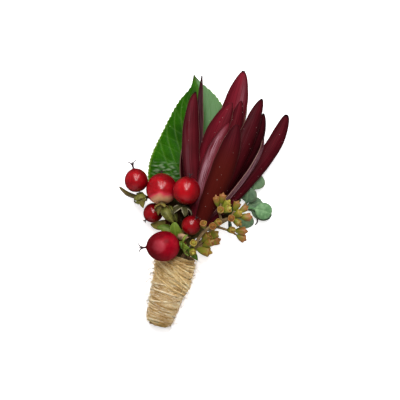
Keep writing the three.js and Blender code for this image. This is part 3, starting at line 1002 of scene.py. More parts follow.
@dataclass(frozen=True)
class Jute(Finish):
    """Jute yarn: dull bast fibres lightly twisted, pale where they catch the light and brown between."""

    name: str = "twisted_jute_yarn"
    roughness: float = 0.82
    sheen: float = 0.03
    sheen_tint: str = "#fff0d0"
    specular: float = 0.1
    bump: float = 1.0
    bump_depth: float = 0.0004
    shade: str = "#ae8040"
    straw: str = "#ffdd98"
    light: str = "#fff4cc"
    green: str = "#7f8c4c"
    twist_mm: float = 5.5
    stained_mm: tuple[float, float] = (13.4, 15.2)

    def material(self) -> Material:
        """Fibres that run slantwise round the yarn, in three straw colours, greener by the cut stems.

        Returns:
            The material.
        """
        material, tree, place, _ = self.start()
        uv = node(tree, "ShaderNodeUVMap")
        around, share, _ = node(tree, "ShaderNodeSeparateXYZ", links={0: uv}).node.outputs
        length = node(tree, "ShaderNodeMath", {"operation": "MULTIPLY", 1: UV_TWINE_MM}, {0: share})
        settings = {"operation": "MULTIPLY_ADD", 1: 1 / self.twist_mm}
        turns = node(tree, "ShaderNodeMath", settings, {0: length, 2: around})
        fibre = node(tree, "ShaderNodeCombineXYZ", links={"X": turns, "Y": length})
        # fibres 0.25 mm apart round a yarn of 2.6 mm, each some 4 mm long before another takes over
        fibre = node(tree, "ShaderNodeMapping", {"Scale": (10.0, 0.25, 1.0)}, {"Vector": fibre})
        line = node(tree, "ShaderNodeCombineXYZ", links={"X": length})
        strands, drift = (
            node(
                tree, "ShaderNodeTexNoise", {"Scale": scale, "Detail": detail, "Roughness": roughness},
                {"Vector": vector},
            )
            for vector, scale, detail, roughness in ((fibre, 1.0, 2.0, 0.7), (line, 0.12, 3.0, 0.6))
        )
        level = self.shifted(tree, drift, (strands, 1.5))
        stops = [(0.26, self.shade), (0.46, self.straw), (0.72, self.light)]
        colour = node(tree, "ShaderNodeValToRGB", {"stops": stops}, {"Fac": level})
        _, y, _ = node(tree, "ShaderNodeSeparateXYZ", links={0: place}).node.outputs
        start, end = (-mm * MM for mm in self.stained_mm)
        settings = {"interpolation_type": "SMOOTHSTEP", "From Min": start, "From Max": end, "To Max": 0.8}
        stained = node(tree, "ShaderNodeMapRange", settings, {"Value": y})
        self.painted(tree, colour, ((stained, self.green),), strands)
        return material


@dataclass(frozen=True)
class Plain(Finish):
    """A small or hidden piece in one colour, clouded a little."""

    colour: str = "#808080"
    second: str = "#606060"
    scale: float = 500.0

    def material(self) -> Material:
        """Two close colours in clouds.

        Returns:
            The material.
        """
        material, tree, place, _ = self.start()
        clouds = node(tree, "ShaderNodeTexNoise", {"Scale": self.scale, "Detail": 3.0}, {"Vector": place})
        stops = [(0.35, self.colour), (0.65, self.second)]
        self.painted(tree, node(tree, "ShaderNodeValToRGB", {"stops": stops}, {"Fac": clouds}))
        return material


class Slot(Enum):
    """The record's material slots."""

    TWINE = "twine"
    BRACT = "bract"
    LEAF = "leaf"
    SPRIG = "sprig"
    BERRY = "berry"
    BUD = "bud"
    ROUND_LEAF = "round_leaf"


class Look(Enum):
    """The finishes of this object."""

    # dark red bracts, waxed and a little hairy, with a painted sheen on some
    BRACT = BractSkin()
    # the broad leaf, glossy and leathery
    LEAF = LeafSkin()
    # three large berries and their wet shine
    BERRY = BerrySkin()
    # the lowest berry, dulled by a bloom of wax
    DULL_BERRY = BerrySkin(
        name="bloomed_hypericum_berry", roughness=0.5, coat=0.05, coat_roughness=0.36, specular=0.04,
        dark="#7a0012", red="#a2041c", pink="#c0525e",
    )
    # two small berries, riper and so darker
    RIPE_BERRY = BerrySkin(name="ripe_hypericum_berry", dark="#72000a", red="#9e020e")
    # sepals and small leaves of hypericum, and thick stems: green skin, browned by age
    SPRIG = Mottled(name="hypericum_sprig_skin", roughness=0.5, coat=0.1)
    # stalks of hypericum: reddish bark
    STALK = Mottled(
        name="hypericum_stalk_bark", roughness=0.6, low="#3c1a0c", middle="#6a3a1e", high="#8c6a3a"
    )
    # old sepals, nearly black inside, with a dry pale rim
    OLD_SEPAL = Mottled(
        name="dry_hypericum_sepal", roughness=0.55, low="#1c180c", middle="#322c16", high="#5c5a34",
        rim="#d0c6a4", rim_share=0.85, vein_share=0.4,
    )
    # young leaves of the lower sprig
    FRESH = Mottled(
        name="young_hypericum_leaf", roughness=0.45, low="#34500f", middle="#56701c", high="#8b9c3c",
        rim="#8a9a48", vein_share=0.6,
    )
    # folded leaves between the berries, yellow green between darker veins
    FOLDED = Mottled(
        name="folded_hypericum_leaf", roughness=0.5, low="#26240c", middle="#4c4c1c", high="#8e8c42",
        rim="#9c9258", rim_share=0.4, vein_share=0.65,
    )
    # a fallen sepal, dried to tan
    DRY = Mottled(
        name="dried_hypericum_sepal", roughness=0.6, low="#7a5236", middle="#b08a66", high="#c9a98a",
        rim="#7a4a34",
    )
    # glaucous eucalyptus: green under a dull blue-grey wax
    ROUND_LEAF = Mottled(
        name="glaucous_eucalyptus_leaf", roughness=0.6, low="#3a4f3d", middle="#5f7a5c", high="#8fae7c",
        rim="#6b5a44", scale=760.0, rim_share=0.4, vein_share=0.35,
    )
    # a young eucalyptus leaf, greener because its wax is thin, with pale specks that are partly painted
    # glints
    YOUNG_LEAF = Mottled(
        name="young_eucalyptus_leaf", roughness=0.5, low="#3c6040", middle="#618a5b", high="#a2cc94",
        rim="#46664a", scale=620.0, rim_share=0.4,
    )
    # grey-brown bark of the eucalyptus twigs
    TWIG = Mottled(
        name="eucalyptus_twig_bark", roughness=0.65, low="#66503a", middle="#8c7250", high="#a08e58",
        scale=700.0,
    )
    # buds, green to tan
    BUD = BudSkin()
    # styles dried nearly black, and one dry twig
    STYLE = Plain(name="dry_style", roughness=0.7, colour="#2a1a1c", second="#4a3436")
    # spun jute in the open
    JUTE = Jute()
    # the turns by the cut stems, painted paler to stand for brighter light there
    JUTE_PALE = Jute(name="painted_lit_jute_yarn", shade="#b88e54", straw="#ffeabc", light="#fffce8")
    # the turns below, painted darker to stand for the shade of those above them
    JUTE_BELOW = Jute(name="shaded_jute_yarn", shade="#785428", straw="#bc9456", light="#e2c48c")
    # fibres that have worked loose and lie on the turns
    JUTE_FIBRE = Plain(
        name="loose_jute_fibre", roughness=0.75, colour="#ffe6b0", second="#c89c5c", scale=160.0
    )
    # fibres that stand off the turns, grey against the white table
    JUTE_WHISKER = Plain(
        name="stray_jute_fibre", roughness=0.8, colour="#98948a", second="#77715a", scale=160.0
    )
    # what shows between the turns, painted dark brown for the shade in the gaps
    JUTE_CORE = Plain(name="jute_under_turns", roughness=0.95, colour="#7d5f38", second="#5e4628")


# each finish is made once and shared
_MADE: dict[Look, Material] = {}


def dressed(piece: Piece, look: Look, slot: Slot, cad: str) -> None:
    """Gives a piece its finish and ties it to the frame.

    Args:
        piece: The piece.
        look: Its finish.
        slot: Not used.
        cad: The CAD node that it stands for.
    """
    if look not in _MADE:
        _MADE[look] = look.value.material()
    piece.data.materials.append(_MADE[look])
    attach(piece, BODY)
    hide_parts(cad)
    LOG.info("%s: %d faces, %s", piece.name, len(piece.data.polygons), look.name)


# Stems and twine


@dataclass(frozen=True)
class Route:
    """Where a plant's stem lies in the bundle, how thick it is, and its way on to the first fork."""

    x: float
    z: float
    radius: float
    beyond: tuple[Triple, ...]


@dataclass
class Bundle:
    """The stems' ways through the binding, which the plants and the twine share.

    The binding goes from low to high, and its axis rises from axis_low to axis_high. The stems go from
    cut_end to stem_exit, and gather is how close they lie at the cut end, next to 1 at the exit.
    """

    low: float = -15.2
    high: float = 15.8
    axis_low: float = 4.6
    axis_high: float = 8.0
    cut_end: float = -15.9
    stem_exit: float = 15.0
    gather: float = 0.72
    routes: dict[str, Route] = field(
        default_factory=lambda: {
            "leucadendron": Route(0, 0, 1.9, ((2.6, 22, 10.4), (4.6, 27, 11))),
            "leaf": Route(-0.9, -3.7, 0.75, ((-0.4, 20, 3.4), (0.2, 27, 3.1))),
            "berries_upper": Route(-3.7, 1.2, 1.0, ((-6, 22, 10.2), (-8.4, 28.6, 9.6))),
            "berries_lower": Route(-1.3, 3.9, 0.95, ((-0.9, 18, 13.6), (-0.6, 20.6, 15.2))),
            "seeds_upper": Route(
                2.2, 3.5, 0.85, ((4.2, 19.2, 13.6), (5.9, 22.4, 15.2), (8.1, 28.2, 17), (13.6, 34.4, 18))
            ),
            "seeds_lower": Route(4.0, 0.6, 0.85, ((6.9, 20.1, 11.8),)),
            "round_leaves": Route(
                2.9, -2.9, 0.85,
                ((7.8, 22.8, 4.9), (12.9, 31.9, 4.4), (18.8, 38.3, 4.2), (22.0, 44.4, 4.8), (23.4, 50, 5.2)),
            ),
        }
    )

    def axis_at(self, y: float) -> float:
        """The height of the bundle's axis at a place along it."""
        return self.axis_low + (y - self.low) / (self.high - self.low) * (self.axis_high - self.axis_low)

    def lean(self) -> float:
        """How far the bundle's axis rises towards the flowers, in radians."""
        return math.atan2(self.axis_high - self.axis_low, self.high - self.low)

    def path(self, name: str) -> Path:
        """A stem's way from its cut end to its fork.

        Args:
            name: The plant.

        Returns:
            The way.
        """
        route = self.routes[name]
        places: list[Numbers] = []
        for share in (0, 1 / 3, 2 / 3, 1):
            y = self.cut_end + share * (self.stem_exit - self.cut_end)
            close = self.gather + share * (1 - self.gather)
            places.append((route.x * close, y, self.axis_at(y) + route.z * close))
        return Path.through([*places, *route.beyond])

    def stem(self, name: str, label: str, taper: float = 0.85) -> Piece:
        """A plant's stem as a mesh, its radius at the fork tapered to a share of that at the cut end."""
        radius = self.routes[name].radius
        return stem(label, self.path(name), (radius, radius, radius * taper), 1.5, sides=10)


@dataclass(frozen=True)
class Winding:
    """One length of yarn wound round the binding, turn by turn, over what lies under it.

    pitch is the distance from turn to turn, slant how far the turns fall towards the right at either end,
    lift their height over the binding's outline, and unrest how unevenly they lie.
    """

    name: str
    low: float
    high: float
    pitch: float
    slant_low: float
    slant_high: float
    lift: float
    radius: float
    seed: int
    phase: float = 0.0
    unrest: float = 0.12
    look: Look = Look.JUTE


@dataclass
class TwineBinding:
    """Jute yarn wound in dense turns with slanting turns over them, loose fibres, and a core.

    outline gives its radius at places along it. A whisker's length is the square of a number between those
    of whisker_root, so that most are short.
    """

    bundle: Bundle
    outline: tuple[tuple[float, float], ...] = (
        (-15.2, 4.4), (-14.0, 5.1), (-11.5, 5.6), (-4, 6.5), (2, 7.2), (8, 8.3), (13, 8.5), (15.8, 7.7)
    )
    windings: tuple[Winding, ...] = (
        Winding("binding_yarn_under", -15.1, 15.7, 0.86, 0.1, 0.3, -0.62, 0.5, 11, look=Look.JUTE_BELOW),
        Winding("binding_yarn_low", -14.9, 1.5, 1.0, 0.02, 0.16, -0.1, 0.44, 12, 0.8, 0.3, Look.JUTE_PALE),
        Winding("binding_yarn_high", 0.2, 15.2, 0.95, 0.3, 0.42, -0.1, 0.42, 13, 2.1, 0.3),
        Winding("binding_yarn_across", 1.8, 13.0, 2.3, 0.5, 0.62, 0.28, 0.4, 14, 3.3, 0.5),
        Winding("binding_yarn_middle", -6.5, 2.6, 2.6, -0.16, 0.02, 0.24, 0.4, 15, 5.2, 0.5, Look.JUTE_PALE),
    )
    steps_a_turn: int = 46
    core_depth: float = 1.05
    end_depth: float = 0.9
    unevenness: float = 0.16
    uv_shift: float = 0.0137
    fibres: int = 560
    whiskers: int = 170
    fibre_radius: float = 0.07
    fibre_rows: int = 8
    fibre_ends: tuple[float, float] = (-15.0, 15.2)
    lying_length: tuple[float, float] = (3, 13)
    whisker_root: tuple[float, float] = (1.1, 2.4)
    whisker_limit: Triple = (-40.0, -17.6, 0.1)

    def radius_at(self, y: np.ndarray) -> np.ndarray:
        """The binding's radius at places along it."""
        marks, radii = zip(*self.outline)
        return np.interp(y, marks, radii)

    def around(
        self, y: np.ndarray, angle: np.ndarray, lift: np.ndarray, slant: np.ndarray, floor: float
    ) -> tuple[np.ndarray, np.ndarray]:
        """Places on the binding's surface.

        Args:
            y: Places along the binding.
            angle: Angles round it, from its top to the right.
            lift: Heights over the surface.
            slant: How far the turns fall towards the right.
            floor: The least height over the surface that it lies on.

        Returns:
            The places, and the ways out from the axis.
        """
        reach = self.radius_at(y) + lift
        share = (y - self.bundle.low) / (self.bundle.high - self.bundle.low)
        hold = np.clip(np.minimum(8 * share, 8 * (1 - share)), 0, 1)
        x, z = reach * np.sin(angle), reach * np.cos(angle)
        along = y - x * slant * hold
        lean = self.bundle.lean()
        rise = along * math.sin(lean) + z * math.cos(lean) + self.bundle.axis_at(0)
        places = np.stack([x, along * math.cos(lean) - z * math.sin(lean), np.maximum(rise, floor)], axis=-1)
        return places, np.stack([np.sin(angle), np.zeros_like(angle), np.cos(angle)], axis=-1)

    def wound(self, winding: Winding) -> Piece:
        """One winding of yarn, with its own thick and thin places.

        Args:
            winding: The winding.

        Returns:
            The yarn.
        """
        rng = np.random.default_rng(winding.seed)
        turns = (winding.high - winding.low) / winding.pitch
        count = int(turns * self.steps_a_turn)
        share = np.linspace(0, 1, count)
        angle = winding.phase + 2 * math.pi * turns * share
        knots = max(4, int(turns * 3))
        y = winding.low + share * (winding.high - winding.low)
        y = y + wander(rng, count, knots) * winding.pitch * winding.unrest
        slant = winding.slant_low + share * (winding.slant_high - winding.slant_low)
        slant = slant + wander(rng, count, max(3, int(turns))) * winding.unrest * 0.25
        lift = winding.lift + wander(rng, count, knots) * 0.1
        dive = np.maximum(smooth_step(1 / turns * 0.4, 0, share), smooth_step(1 - 1 / turns * 0.4, 1, share))
        lift = lift - dive * (winding.lift + self.end_depth)
        places, outward = self.around(y, angle, lift, slant, winding.radius * 0.85)
        radii = winding.radius * (1 + self.unevenness * wander(rng, count, knots * 3))
        piece = rolled(winding.name, places, outward, radii, 7)
        points = points_of(piece) / MM
        points[:, 2] = np.maximum(points[:, 2], 0.0)
        set_points(piece, points)
        length = float(np.linalg.norm(np.diff(places, axis=0), axis=1).sum())
        layer = piece.data.uv_layers.active
        flat = np.empty(len(layer.uv) * 2)
        layer.uv.foreach_get("vector", flat)
        flat[1::2] = (flat[1::2] + self.uv_shift * winding.seed) * length / UV_TWINE_MM
        layer.uv.foreach_set("vector", flat)
        return smoothed(piece)

    def core(self) -> Piece:
        """The tight turns under the visible ones, as one plain body.

        Returns:
            The core.
        """
        y = np.array([-15.02, -15.0, -14.4, -8, 0, 8, 14.6, 15.3, 15.32])
        lean = self.bundle.lean()
        centres = np.stack(
            [np.zeros_like(y), y * math.cos(lean), y * math.sin(lean) + self.bundle.axis_at(0)], axis=-1
        )
        outward = np.tile([0.0, 0.0, 1.0], (len(y), 1))
        return smoothed(rolled("binding_core", centres, outward, self.radius_at(y) - self.core_depth, 28), 50)

    def fibre_line(self, rng: np.random.Generator, flying: bool, count: int) -> np.ndarray:
        """The line of one loose fibre.

        Args:
            rng: The source of chance.
            flying: Whether it stands off the binding.
            count: How many points.

        Returns:
            The points, one a row.
        """
        share = np.linspace(0, 1, count)
        y = rng.uniform(*self.fibre_ends)
        angle = rng.uniform(-2.0, 2.0)
        if flying:
            angle = rng.choice([-1, 1]) * rng.uniform(0.9, 1.9)
            start, outward = self.around(*(np.array([value]) for value in (y, angle, 0.1, 0.2)), 0.2)
            length = rng.uniform(*self.whisker_root) ** 2
            way = unit(outward[0] + rng.normal(0, 0.75, 3))
            curl, hook = rng.normal(0, 0.7, 3), rng.normal(0, 0.6, 3)
            s = share[:, None]
            line = start[0] + length * (s * way + 0.6 * s**2 * curl + 0.25 * np.sin(4.5 * s) * hook)
            return np.maximum(line, np.array(self.whisker_limit))
        length = rng.uniform(*self.lying_length)
        cross = rng.normal(0.0, 0.22)
        reach = float(self.radius_at(np.array([y]))[0])
        ends = rng.uniform(0, 1, 2) ** 3 * 1.1
        lift = 0.28 + rng.uniform(0, 0.25) + ends[0] * (1 - share) ** 3 + ends[1] * share**3
        angles = angle + length * share / reach
        rise = y + cross * length * share + wander(rng, count, 2) * 0.3
        slant = np.full(count, 0.12 + 0.2 * (y + 15) / 30)
        line, _ = self.around(np.clip(rise, -15.2, 15.6), angles, lift, slant, 0.1)
        return line

    def loose_fibres(self, name: str, count: int, flying: bool, seed: int) -> Piece:
        """Loose fibres, each a bent copy of one thin strip.

        Args:
            name: The name of the whole.
            count: How many.
            flying: Whether they stand off the binding.
            seed: The seed of chance.

        Returns:
            The fibres.
        """
        rng = np.random.default_rng(seed)
        rows = self.fibre_rows
        pattern = sheet("fibre_pattern", 3, rows - 1)
        flat = points_of(pattern)
        fibres = []
        for _ in range(count):
            line = self.fibre_line(rng, flying, rows)
            outward = unit(np.cross(unit(np.gradient(line, axis=0)), unit(rng.normal(0, 1, 3))))
            radii = self.fibre_radius * rng.uniform(0.7, 1.5) * (1 - 0.5 * np.linspace(0, 1, rows))
            fibre = copied(pattern)
            set_points(fibre, tube(flat, line, outward, radii))
            fibres.append(fibre)
        bpy.data.objects.remove(pattern)
        return smoothed(closed(joined(name, fibres)), 180)

    def build(self) -> None:
        """Makes the binding's pieces and dresses them."""
        cad = "twine_binding"
        dressed(self.core(), Look.JUTE_CORE, Slot.TWINE, cad)
        for winding in self.windings:
            dressed(self.wound(winding), winding.look, Slot.TWINE, cad)
        for name, count, flying, seed, look in (
            ("binding_loose_fibres", self.fibres, False, 29, Look.JUTE_FIBRE),
            ("binding_whiskers", self.whiskers, True, 31, Look.JUTE_WHISKER),
        ):
            dressed(self.loose_fibres(name, count, flying, seed), look, Slot.TWINE, cad)


# Leucadendron head


@dataclass(frozen=True)
class Bract:
    """One bract: its place on the receptacle, its line, its width, and the way that its outside faces.

    silk is how hairy it is and how much painted sheen it carries, in a band sheen_hairs_width wide at
    sheen_hairs_at across it, and scorch how dark its tip is.
    """

    root: float
    middle: Triple
    tip: Triple
    width: float
    looks: Triple
    tone: float = 0.35
    warmth: float = 0.0
    widest: float = 0.57
    blunt: float = 0.6
    silk: float = 0.0
    sheen_hairs_at: float = 0.0
    sheen_hairs_width: float = 0.35
    scorch: float = 1.0


@dataclass
class LeucadendronHead:
    """Long cupped bracts that rise from one receptacle at the end of a thick stem.

    The receptacle goes from root to top, and base is how wide a bract starts.
    """

    bundle: Bundle
    root: Triple = (4.6, 27, 11)
    top: Triple = (6.2, 43, 11.6)
    receptacle: float = 3.1
    stand_off: float = 1.4
    thickness: float = 0.9
    cup: float = 0.34
    base: float = 0.44
    seed: int = 100
    bracts: tuple[Bract, ...] = (
        Bract(0.05, (8.3, 53, 19.6), (8.8, 74.2, 20), 9.8, (0.1, 0, 1), 0.34, 0.75, 0.57, 0.5, scorch=0.25),
        Bract(
            0.15, (1.9, 54, 17.3), (5.6, 74, 17.8), 8, (-0.45, 0, 0.9), 0.6, 0.0, silk=1.0, sheen_hairs_at=-0.16,
            sheen_hairs_width=0.36, scorch=0.2,
        ),
        Bract(0.5, (1.0, 62, 14.9), (4.5, 82.8, 14.8), 10.4, (-0.3, 0, 1), 0.56, 0.05, scorch=0.3),
        Bract(0.7, (8.2, 64, 15.4), (7.7, 84.6, 13.8), 7.4, (0.1, 0, 1), 0.45, 0.15, scorch=0.3),
        Bract(
            0.9, (6.2, 72, 10.8), (5.3, 97.3, 10.6), 11.2, (0, 0, 1), 0.7, 0.0, silk=0.4, sheen_hairs_at=0.4,
            sheen_hairs_width=0.24,
        ),
        Bract(
            0.2, (12.9, 60, 16.6), (16, 87.8, 14.2), 8.8, (0.35, 0, 1), 0.3, 0.1, 0.52, 0.5, silk=0.06,
            sheen_hairs_at=-0.35,
        ),
        Bract(0.6, (18.0, 63.4, 11.6), (18.3, 82.4, 11), 7.4, (0.6, 0, 0.8), 0.12, 0.0, 0.6, 0.5),
        Bract(
            0.1, (19.4, 56.3, 13.6), (21, 72.1, 14.6), 7.2, (1, -0.2, 0.08), 0.3, 0.0, silk=0.7,
            sheen_hairs_width=2.0,
        ),
        Bract(0.0, (22.7, 60.2, 9.8), (27.9, 84.7, 9.6), 7.1, (0.2, 0, 1), 0.4, 0.0, 0.7, 0.42),
        Bract(
            0.1, (-7.8, 62, 13.8), (-11.5, 83.1, 13.6), 7.6, (-0.15, 0, 1), 0.44, 0.1, silk=0.12, sheen_hairs_at=-0.3
        ),
        Bract(
            0.45, (-6.6, 69, 9.2), (-10.9, 90.6, 9.8), 7, (-0.93, 0, 0.36), 0.1, 0.0, blunt=0.5, silk=0.16,
            sheen_hairs_width=2.0,
        ),
        Bract(0.1, (-7.4, 52, 8.6), (-8.2, 69, 8.6), 7, (-0.6, 0, -0.8), 0.15, 0.0),
        Bract(0.3, (1.2, 58, 6.2), (2.6, 77, 6.8), 9, (-0.3, 0, -0.95), 0.2, 0.0),
        Bract(0.6, (7.4, 64, 5.7), (8, 89, 6.8), 10, (0, 0, -1), 0.3, 0.0),
        Bract(0.35, (14, 57, 6.4), (14.6, 79, 7.4), 9, (0.3, 0, -0.95), 0.25, 0.0),
        Bract(0.05, (15.8, 50, 7.6), (19.4, 69, 8), 7.6, (0.55, 0, -0.85), 0.25, 0.0),
    )

    def half_width(self, t: np.ndarray, widest: float, blunt: float) -> np.ndarray:
        """A bract's half width: narrow at the base, widest past the middle, blunt at the tip.

        Args:
            t: Shares of the length.
            widest: The share where it is widest.
            blunt: How it ends, from 0.5 for round to 1 for pointed.

        Returns:
            The half widths over width / 2.
        """
        rising = self.base + (1 - self.base) * np.sin(np.clip(t / widest, 0, 1) * math.pi / 2)
        beyond = np.clip((t - widest) / (1 - widest), 0, 1)
        falling = np.maximum(0.1, (1 - beyond**2) ** blunt)
        return np.where(t < widest, rising, falling)

    def bract(self, index: int, bract: Bract) -> Piece:
        """One bract, a little waved and faintly folded in its own way.

        Args:
            index: Its number, which sets its way.
            bract: The bract.

        Returns:
            Its mesh.
        """
        rng = np.random.default_rng(self.seed + index)
        looks = unit(np.array(bract.looks, dtype=float))
        root, top = np.array(self.root), np.array(self.top)
        start = root + (top - root) * bract.root + looks * self.stand_off
        folds = rng.uniform(0, 2 * math.pi, 4)
        front = bract.looks[2] > 0
        blade = Blade(
            Path.bow(start, bract.middle, bract.tip), looks, bract.width,
            outline=lambda t: self.half_width(t, bract.widest, bract.blunt),
            thickness=self.thickness, margin=0.4, cup=self.cup, crowd=1.5,
            across=12 if front else 8, along=34 if front else 22,
            relief=lambda u, t: 0.1 * np.sin(7 * u + folds[0] + t) * (1 - u**2)
            + 0.16 * u * np.sin(5 * t + folds[1]) * smooth_step(0.1, 0.5, t)
            + 0.12 * np.exp(-((u / 0.16) ** 2)) * (1 - t),
            edge=lambda u, t: 0.09 * np.sin(31 * t + folds[2] + np.sign(u))
            + 0.1 * np.sin(13 * t + folds[3] + 2 * np.sign(u)),
        )
        piece = blade.build(f"bract_{index + 1}", tone=bract.tone, scorch=bract.scorch)
        u, t = places_on(piece)
        mark(piece, "warmth", bract.warmth * smooth_step(0.8, 0.4, t))
        # a band of hairs, coloured mostly as a painted sheen
        band = np.exp(-(((u - bract.sheen_hairs_at) / bract.sheen_hairs_width) ** 2)) * smooth_step(0.08, 0.3, t)
        mark(piece, "silk", bract.silk * band * smooth_step(0.98, 0.62, t))
        return piece

    def cone(self) -> Piece:
        """The receptacle that the bracts stand on.

        Returns:
            Its mesh.
        """
        r = self.receptacle
        profile = [
            (1.9, -2.5), (r * 0.8, 0.5), (r, 3), (r * 1.03, 7), (r, 11), (2.2, 16), (1.1, 20), (0.1, 21)
        ]
        axis = np.array(self.top) - np.array(self.root)
        return stood(turned("receptacle", profile, 16), self.root, axis)

    def build(self) -> None:
        """Makes the head's pieces and dresses them."""
        cad = "leucadendron_head"
        bracts = [self.bract(index, bract) for index, bract in enumerate(self.bracts)]
        dressed(joined("leucadendron_bracts", bracts), Look.BRACT, Slot.BRACT, cad)
        woody = [self.bundle.stem("leucadendron", "leucadendron_stem_wood", 1.0), self.cone()]
        stalk = joined("leucadendron_stem", woody)
        mark(stalk, "tone", 0.3)
        dressed(stalk, Look.SPRIG, Slot.BRACT, cad)


# Broad leaf


@dataclass
class BroadLeaf:
    """One broad, finely toothed leaf whose veins rise steeply from near its base.

    veins are where the main ones leave the midrib, and branch_gap is how far apart the finer ones do.
    """

    bundle: Bundle
    spine: tuple[Triple, ...] = (
        (0.3, 24, 3.3), (-0.3, 42, 3.3), (-3.2, 60.4, 3.2), (-8.0, 76, 2.3), (-11.2, 85, 1.3),
        (-14.4, 90.6, 1.0),
    )
    length: float = 70.0
    width: float = 42.0
    thickness: float = 0.7
    droop: float = 0.15
    teeth: int = 40
    tooth_depth: float = 0.5
    vein_rise: float = 0.62
    vein_slope: float = 0.42
    veins: tuple[float, ...] = (0.0, 0.1, 0.215, 0.33, 0.45, 0.57, 0.7)
    branch_rise: float = 0.15
    branch_gap: float = 0.072

    def half_width(self, t: np.ndarray) -> np.ndarray:
        """The leaf's half width: round at the base, widest below the middle, fine at the tip.

        Args:
            t: Shares of the length.

        Returns:
            The half widths over width / 2.
        """
        shape = np.maximum(0, np.sin(math.pi * np.clip(t, 0, 1) ** 0.72)) ** 0.9
        shape = shape * (1 - 0.4 * smooth_step(0.86, 0.96, t))
        return np.maximum(np.where(t > 0.5, 0.012, 0.03), shape)

    def teeth_at(self, u: np.ndarray, t: np.ndarray) -> np.ndarray:
        """How far the saw-toothed margin stands out.

        Args:
            u: Places across, from -1 to 1; not used, since the teeth are the same at both margins.
            t: Shares of the length.

        Returns:
            The distances.
        """
        saw = (t * self.teeth) % 1.0
        held = smooth_step(0.04, 0.1, t) * smooth_step(0.97, 0.92, t)
        return self.tooth_depth * (saw**1.3 - 0.3) * held

    def vein_lines(self, u: np.ndarray, t: np.ndarray) -> tuple[np.ndarray, np.ndarray]:
        """How near each place is to a main vein and to a branch vein.

        Args:
            u: Places across, from -1 to 1.
            t: Shares of the length.

        Returns:
            Shares from 0 to 1 of the main veins and of the branches.
        """
        across = np.abs(u)
        foot = t - self.vein_rise * across**0.8
        nearest = np.min(np.abs(foot[:, None] - np.array(self.veins)[None, :]), axis=1)
        nearest = nearest * self.length * self.vein_slope
        main = np.exp(-((nearest / 0.22) ** 2)) * smooth_step(1.0, 0.9, across)
        midrib = np.exp(-((u * self.width / 2 * self.half_width(t) / 0.55) ** 2))
        lane = ((t - self.branch_rise * across + 0.012 * np.sin(21 * t)) / self.branch_gap) % 1.0
        off = np.minimum(lane, 1 - lane) * self.branch_gap * self.length
        branch = np.exp(-((off / 0.3) ** 2)) * smooth_step(0.06, 0.2, across)
        return np.maximum(main, midrib), branch

    def quilting(self, u: np.ndarray, t: np.ndarray) -> np.ndarray:
        """The fine wrinkles of the left half, low on the leaf.

        Args:
            u: Places across, from -1 to 1.
            t: Shares of the length.

        Returns:
            Shares from 0 to 1.
        """
        ripple = np.array([2.4 * noise.noise(Vector((11 * a, 90 * b, 0.3))) for a, b in zip(u, t)])
        held = smooth_step(0.31, 0.36, t) * smooth_step(0.46, 0.4, t)
        return np.clip(ripple, 0, 1) * held * smooth_step(-0.98, -0.85, u) * smooth_step(-0.2, -0.4, u)

    def relief(self, u: np.ndarray, t: np.ndarray) -> np.ndarray:
        """The height of the upper side: sunk along the veins, raised between them.

        Args:
            u: Places across, from -1 to 1.
            t: Shares of the length.

        Returns:
            The heights.
        """
        main, branch = self.vein_lines(u, t)
        lane = ((t - self.branch_rise * np.abs(u)) / self.branch_gap) % 1.0
        puff = np.sin(math.pi * lane) * (0.05 + 0.4 * smooth_step(0.46, 0.2, t))
        puff = puff + 0.42 * self.quilting(u, t)
        wave = 0.35 * np.sin(9 * t + 2.5 * u) * np.abs(u)
        return puff * smooth_step(1.0, 0.8, np.abs(u)) - 0.12 * main - 0.04 * branch + wave

    def build(self) -> None:
        """Makes the leaf's pieces and dresses them."""
        cad = "broad_leaf"
        blade = Blade(
            path=Path.through(self.spine), faces=(0, 0, 1), width=self.width, outline=self.half_width,
            thickness=self.thickness, margin=0.55, cup=self.droop, across=88, along=200, rounded=False,
            relief=self.relief, edge=self.teeth_at,
        )
        lamina = blade.build("broad_leaf_blade")
        rested(lamina)
        u, t = places_on(lamina)
        main, branch = self.vein_lines(u, t)
        shown = 1 - 0.82 * smooth_step(-0.1, 0.3, u)
        mark(lamina, "vein", shown * (0.28 * main + 0.12 * branch * (1 - main)))
        # painted glints on the wrinkles low on the left half
        mark(lamina, "crumpled", 0.24 * self.quilting(u, t))
        # painted shade towards the petiole, and a browned tip
        mark(lamina, "aged", smooth_step(0.25, 0.17, t) + 0.55 * smooth_step(0.95, 0.985, t))
        mark(lamina, "web", -0.8 * main - 0.5 * branch)
        dressed(lamina, Look.LEAF, Slot.LEAF, cad)
        petiole = self.bundle.stem("leaf", "broad_leaf_petiole")
        mark(petiole, "tone", 0.6)
        dressed(petiole, Look.SPRIG, Slot.LEAF, cad)


# Hypericum

# the way to the light that is painted on the berries: painted shade on the far side, a painted highlight on
# the near side
PAINTED_LIGHT_WAY = (-0.31, -0.1, 1.0)


